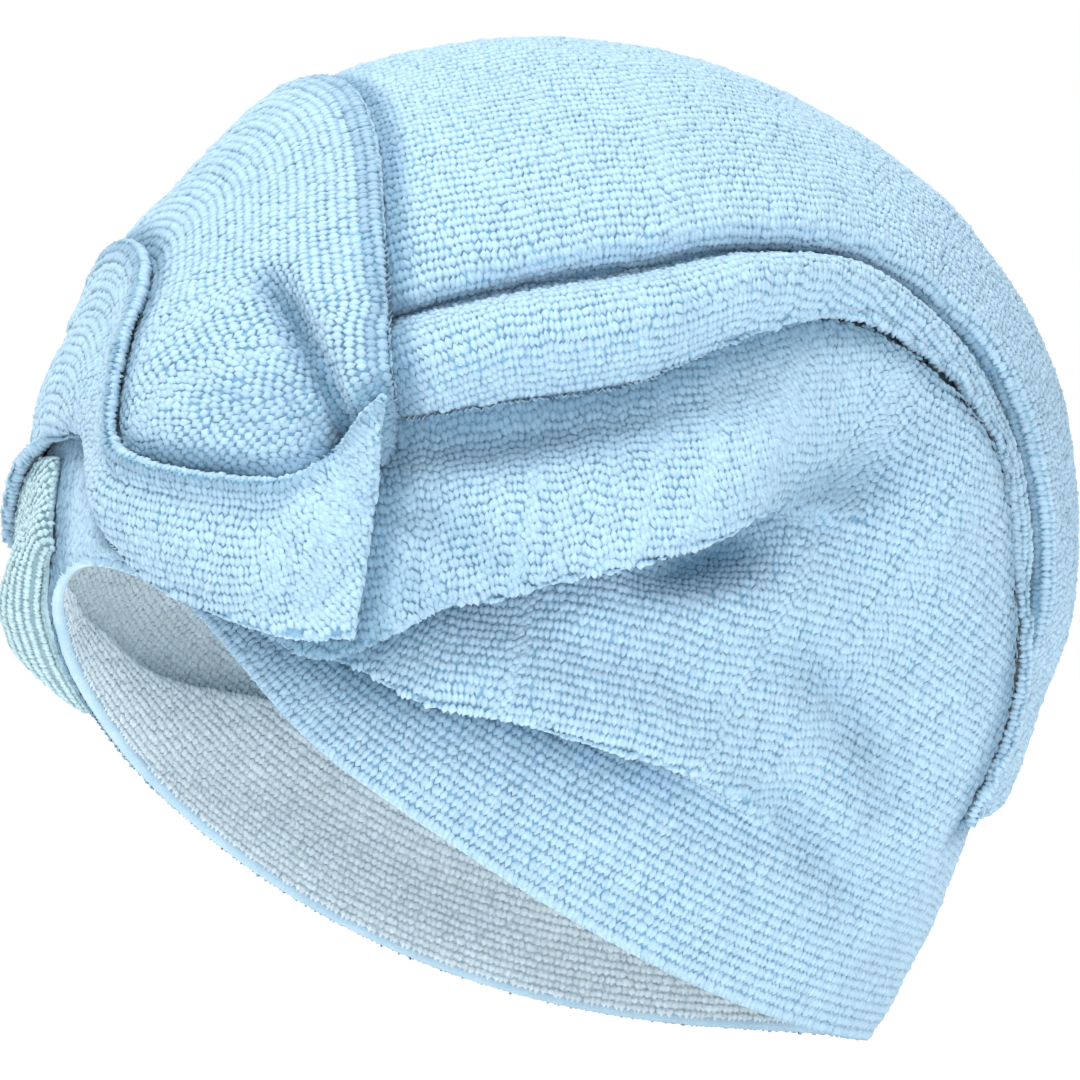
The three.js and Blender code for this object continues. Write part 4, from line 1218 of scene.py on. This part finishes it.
def rim_stand(band, covering, step, seed):
    """The loops along a band's cut edges, which look outwards from it."""
    rng = np.random.default_rng(seed)
    middle = (band["outer"] + band["inner"]) / 2
    groups = []
    for edge, within in (
        (middle[:, 0], middle[:, 5]), (middle[:, -1], middle[:, -6]),
        (middle[0], middle[5]), (middle[-1], middle[-6]),
    ):
        arc = distances(edge)
        stops = np.arange(0.5, arc[-1], step)
        moved = rng.uniform(-LOOP_SCATTER, LOOP_SCATTER, len(stops)) * step
        stops = np.clip(stops + moved, 0, arc[-1])
        where, inside = points_along(edge, arc, stops), points_along(within, arc, stops)
        ahead = points_along(edge, arc, stops + 0.5) - points_along(edge, arc, stops - 0.5)
        free = uncovered(where, covering)[0]
        up = unit(where - inside)
        groups.append((where[free] - up[free] * 0.3, up[free], ahead[free], np.zeros(free.sum())))
    return tuple(np.concatenate([group[part] for group in groups]) for part in range(4))


def band_stands(band, across, pitch, covering, crease, seed, rim=True, shares=(0, 1.01)):
    """The loops on a band's face, in rows of equal across, between two shares of its width."""
    spots = rows_of_loops(band["outer"], across + FIRST_ROW * ROW_PITCH, *pitch, seed)
    at = sample(band["share"][..., None], spots[:, 0], spots[:, 1])[:, 0]
    spots = spots[(at >= shares[0]) & (at < shares[1])]
    stands = [free_stand(band["outer"], band["normals"], spots, covering, crease[..., None])]
    if rim:
        stands.append(rim_stand(band, covering, pitch[1], seed))
    return stands


# Painted shade along the crease beside the side roll.
crease_share = along(np.arange(len(TAIL_ROWS)), np.array(TAIL_ROWS)[:, 4], tail_band["row"][:, 0])
crease_at = np.array([
    np.interp(*line) for line in zip(crease_share, tail_band["share"], tail_band["across"])])
from_crease = tail_band["across"] - crease_at[:, None]
near, far = TAIL_CREASE_REACH
tail_painted_shade = smooth(from_crease, -far, -near) * (1 - smooth(from_crease, near, far)) * TAIL_CREASE_SHADE
for name, start, end, rim in TAIL_HALVES:
    stands = band_stands(
        tail_band, from_crease, (ROW_PITCH, LOOP_PITCH), [lobe_band["cover"], wrap_band["cover"]],
        tail_painted_shade, 50, rim, (start, end))
    piece = pile(name, stands, LOOP_SIZE, LOOP_HEIGHT, face_towelling, 51)


# Lobe loops
# A little fatter pile on the lobe, in rows that follow its free edge. Two sewn lines beside that edge press
# the loops down into grooves, which are painted as shade on the loops, not modelled.
LOBE_PITCH = (2.4, 1.55)
LOBE_LOOP = (1.75, 2.65)
LOBE_FOLD_SHADE = (12, 0.8)
LOBE_SEAMS = (2.2, 5.0)
LOBE_SEAM_SHADE = 0.55
SEAM_WIDTH = 0.8


def seam_shade(across, seams, shade):
    """The painted shade in the grooves of sewn lines, at distances from the edge that they follow."""
    return np.max([shade * np.exp(-(((across - seam) / SEAM_WIDTH) ** 2)) for seam in seams], axis=0)


from_seam = lobe_band["across"][:, -1:] - lobe_band["across"]
lobe_sunk = troughs(laid(lobe_band["outer"].reshape(-1, 3))[0], LOBE_FOLDS).reshape(from_seam.shape)
# painted shade in the lobe's folds, by their depth, and in the seam grooves
full, darkest = LOBE_FOLD_SHADE
lobe_painted_shade = np.clip(lobe_sunk / full, 0, darkest)
lobe_painted_shade = np.maximum(lobe_painted_shade, seam_shade(from_seam, LOBE_SEAMS, LOBE_SEAM_SHADE))
lobe_stands = band_stands(lobe_band, -from_seam, LOBE_PITCH, [wrap_band["cover"]], lobe_painted_shade, 52)
lobe_pile = pile("lobe_loops", lobe_stands, LOBE_LOOP, LOOP_HEIGHT, face_towelling, 53)


# Wrap loops
# The pile on the wrap, in rows that follow its upper edge, with the two sewn lines of its seam beside it,
# painted as shade in grooves on the loops. Nothing lies on the wrap, so it has all its loops.
WRAP_PITCH = (ROW_PITCH, 1.35)
WRAP_LOOP = (1.6, 2.7)
WRAP_SEAMS = (2.4, 5.4)
WRAP_SEAM_SHADE = 0.5
wrap_painted_shade = seam_shade(wrap_band["across"], WRAP_SEAMS, WRAP_SEAM_SHADE)
wrap_stands = band_stands(wrap_band, wrap_band["across"], WRAP_PITCH, [], wrap_painted_shade, 54)
wrap_pile = pile("wrap_loops", wrap_stands, WRAP_LOOP, LOOP_HEIGHT, face_towelling, 55)


# Temple loops
# The reverse face's pile is finer and shorter, in close rows along the fold, so that it looks ribbed. The
# wrap covers the fold's upper part.
TEMPLE_PITCH = (1.9, 1.3)
TEMPLE_LOOP = (1.6, 1.6)
TEMPLE_LOOP_HEIGHT = 0.7
temple_crease = np.zeros_like(temple_band["across"])
temple_stands = band_stands(
    temple_band, temple_band["across"], TEMPLE_PITCH, [wrap_band["cover"]], temple_crease, 56)
temple_pile = pile("temple_loops", temple_stands, TEMPLE_LOOP, TEMPLE_LOOP_HEIGHT, reverse_towelling, 57)


# Hem binding
# The hood's cut edge is overlocked all round with pale thread, which makes a flat ribbed cord. It is sewn
# on over the edge, so that it stands a little past the cloth on both sides.
HEM_HEIGHT = 2.4
HEM_THICKNESS = WALL + 0.7
HEM_UP = 0.5  # how far the cord reaches up over the cut edge
HEM_SIDES = 8
RIB_STEP = 0.7
RIB_LENGTH = 1.5
RIB_SWELL = 0.07
THREAD_COLOURS = (0.47, 0.65, 0.78), (0.34, 0.52, 0.66)  # light and dark


def fibre_finish(name, colours, roughness, scale, strength, depth):
    """A finish of fine fibres or grain alone, mottled from its dark colour to its light one."""
    material, nodes, links, shader, fibres = with_fibres(name, roughness, scale, strength, depth)
    ramp = nodes.new("ShaderNodeValToRGB")
    dark, light = ramp.color_ramp.elements
    dark.position, light.position = 0.35, 0.62
    light.color, dark.color = ((*colour, 1.0) for colour in colours)
    links.new(fibres.outputs["Mottle"], ramp.inputs["Fac"])
    links.new(ramp.outputs["Color"], shader.inputs["Base Color"])
    return material


def ring_faces(rings, sides, closed):
    """The faces between rings of corners, and from the last ring to the first one where they close."""
    ring = np.arange(rings if closed else rings - 1)[:, None] * sides
    further = (ring + sides) % (rings * sides)
    at = np.arange(sides)[None, :]
    after = (at + 1) % sides
    return np.stack([ring + at, ring + after, further + after, further + at], -1).reshape(-1, 4)


def round_hem(left, right):
    """A closed line from the hood's left side to its right side and back to its start."""
    return np.concatenate([left, right[::-1], left[:1]])


hem_across = unit(hood_outer - hood_inner)
hem_middle = (hood_outer + hood_inner) / 2
hem_path = round_hem(hem_middle[:, -1], hem_middle[:, 0])
hem_arc = distances(hem_path)
hem_stops = np.arange(0, hem_arc[-1] - RIB_STEP / 2, RIB_STEP)
hem_line = points_along(hem_path, hem_arc, hem_stops)
hem_way = unit(points_along(round_hem(hem_across[:, -1], hem_across[:, 0]), hem_arc, hem_stops))
hem_within = points_along(round_hem(hood_outer[:, -5], hood_outer[:, 4]), hem_arc, hem_stops)
hem_run = unit(np.roll(hem_line, -2, axis=0) - np.roll(hem_line, 2, axis=0))
hem_down = unit(np.cross(hem_run, hem_way))
if (hem_down * (hem_line - hem_within)).sum() < 0:
    hem_down = -hem_down
around = np.radians(np.arange(HEM_SIDES) * 360.0 / HEM_SIDES)[None, :, None]
swell = 1.0 + RIB_SWELL * np.cos(2 * np.pi * hem_stops / RIB_LENGTH)[:, None, None]
hem_points = (
    hem_line[:, None, :]
    + hem_way[:, None, :] * (np.cos(around) * HEM_THICKNESS / 2) * swell
    + hem_down[:, None, :] * (HEM_HEIGHT / 2 - HEM_UP + np.sin(around) * HEM_HEIGHT / 2) * swell
)
hem_quads = ring_faces(len(hem_stops), HEM_SIDES, True)
hem_flat = hem_points.reshape(-1, 3)
first = hem_flat[hem_quads]
hem_facing = np.cross(first[:, 1] - first[:, 0], first[:, 2] - first[:, 0])
if (hem_facing * (first.mean(1) - np.repeat(hem_points.mean(1), HEM_SIDES, axis=0))).sum() < 0:
    hem_quads = hem_quads[:, ::-1]
edge_thread = fibre_finish("edge_thread", THREAD_COLOURS, 0.8, 1500.0, 0.9, 0.0003)
binding = make_mesh("hem_edge", hem_flat, hem_quads, edge_thread)
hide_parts("hem_binding")


# Nape button
# A plain moulded plastic button sewn under the tail's end, so that the flap can be hooked down. It has a
# raised rim round a dished face. The tail covers it, all but a sliver of the rim at its lower edge.
BUTTON_DIAMETER = 17.0
BUTTON_THICKNESS = 3.2
BUTTON_SIDES = 64
BUTTON_COLOURS = (0.83, 0.89, 0.92), (0.76, 0.84, 0.88)
BUTTON_PROFILE = np.array([
    # share of the radius, share of the thickness
    [0.0, -0.5], [0.86, -0.5], [0.97, -0.38], [1.0, -0.1], [1.0, 0.1], [0.97, 0.36], [0.9, 0.5], [0.8, 0.5],
    [0.7, 0.4], [0.6, 0.22], [0.45, 0.16], [0.0, 0.16],
])
button_low, button_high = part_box("nape_button")
button_centre = np.array((button_low + button_high) / 2) * 1000
button_out = form_at(unit(button_centre - HUB)[None])[1][0]
button_side = unit(np.cross(button_out, [0.0, 0.0, 1.0]))
button_up = np.cross(button_side, button_out)
around = np.linspace(0, 2 * np.pi, BUTTON_SIDES, endpoint=False)[None, :, None]
radii = BUTTON_PROFILE[:, None, 0:1] * BUTTON_DIAMETER / 2
button_points = (
    button_centre
    + button_side * (radii * np.cos(around))
    + button_up * (radii * np.sin(around))
    + button_out * (BUTTON_PROFILE[:, None, 1:2] * BUTTON_THICKNESS)
).reshape(-1, 3)
button_plastic = fibre_finish("button_plastic", BUTTON_COLOURS, 0.45, 900.0, 0.1, 0.0001)
button = make_mesh(
    "button_disc", button_points, ring_faces(len(BUTTON_PROFILE), BUTTON_SIDES, False), button_plastic)
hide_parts("nape_button")
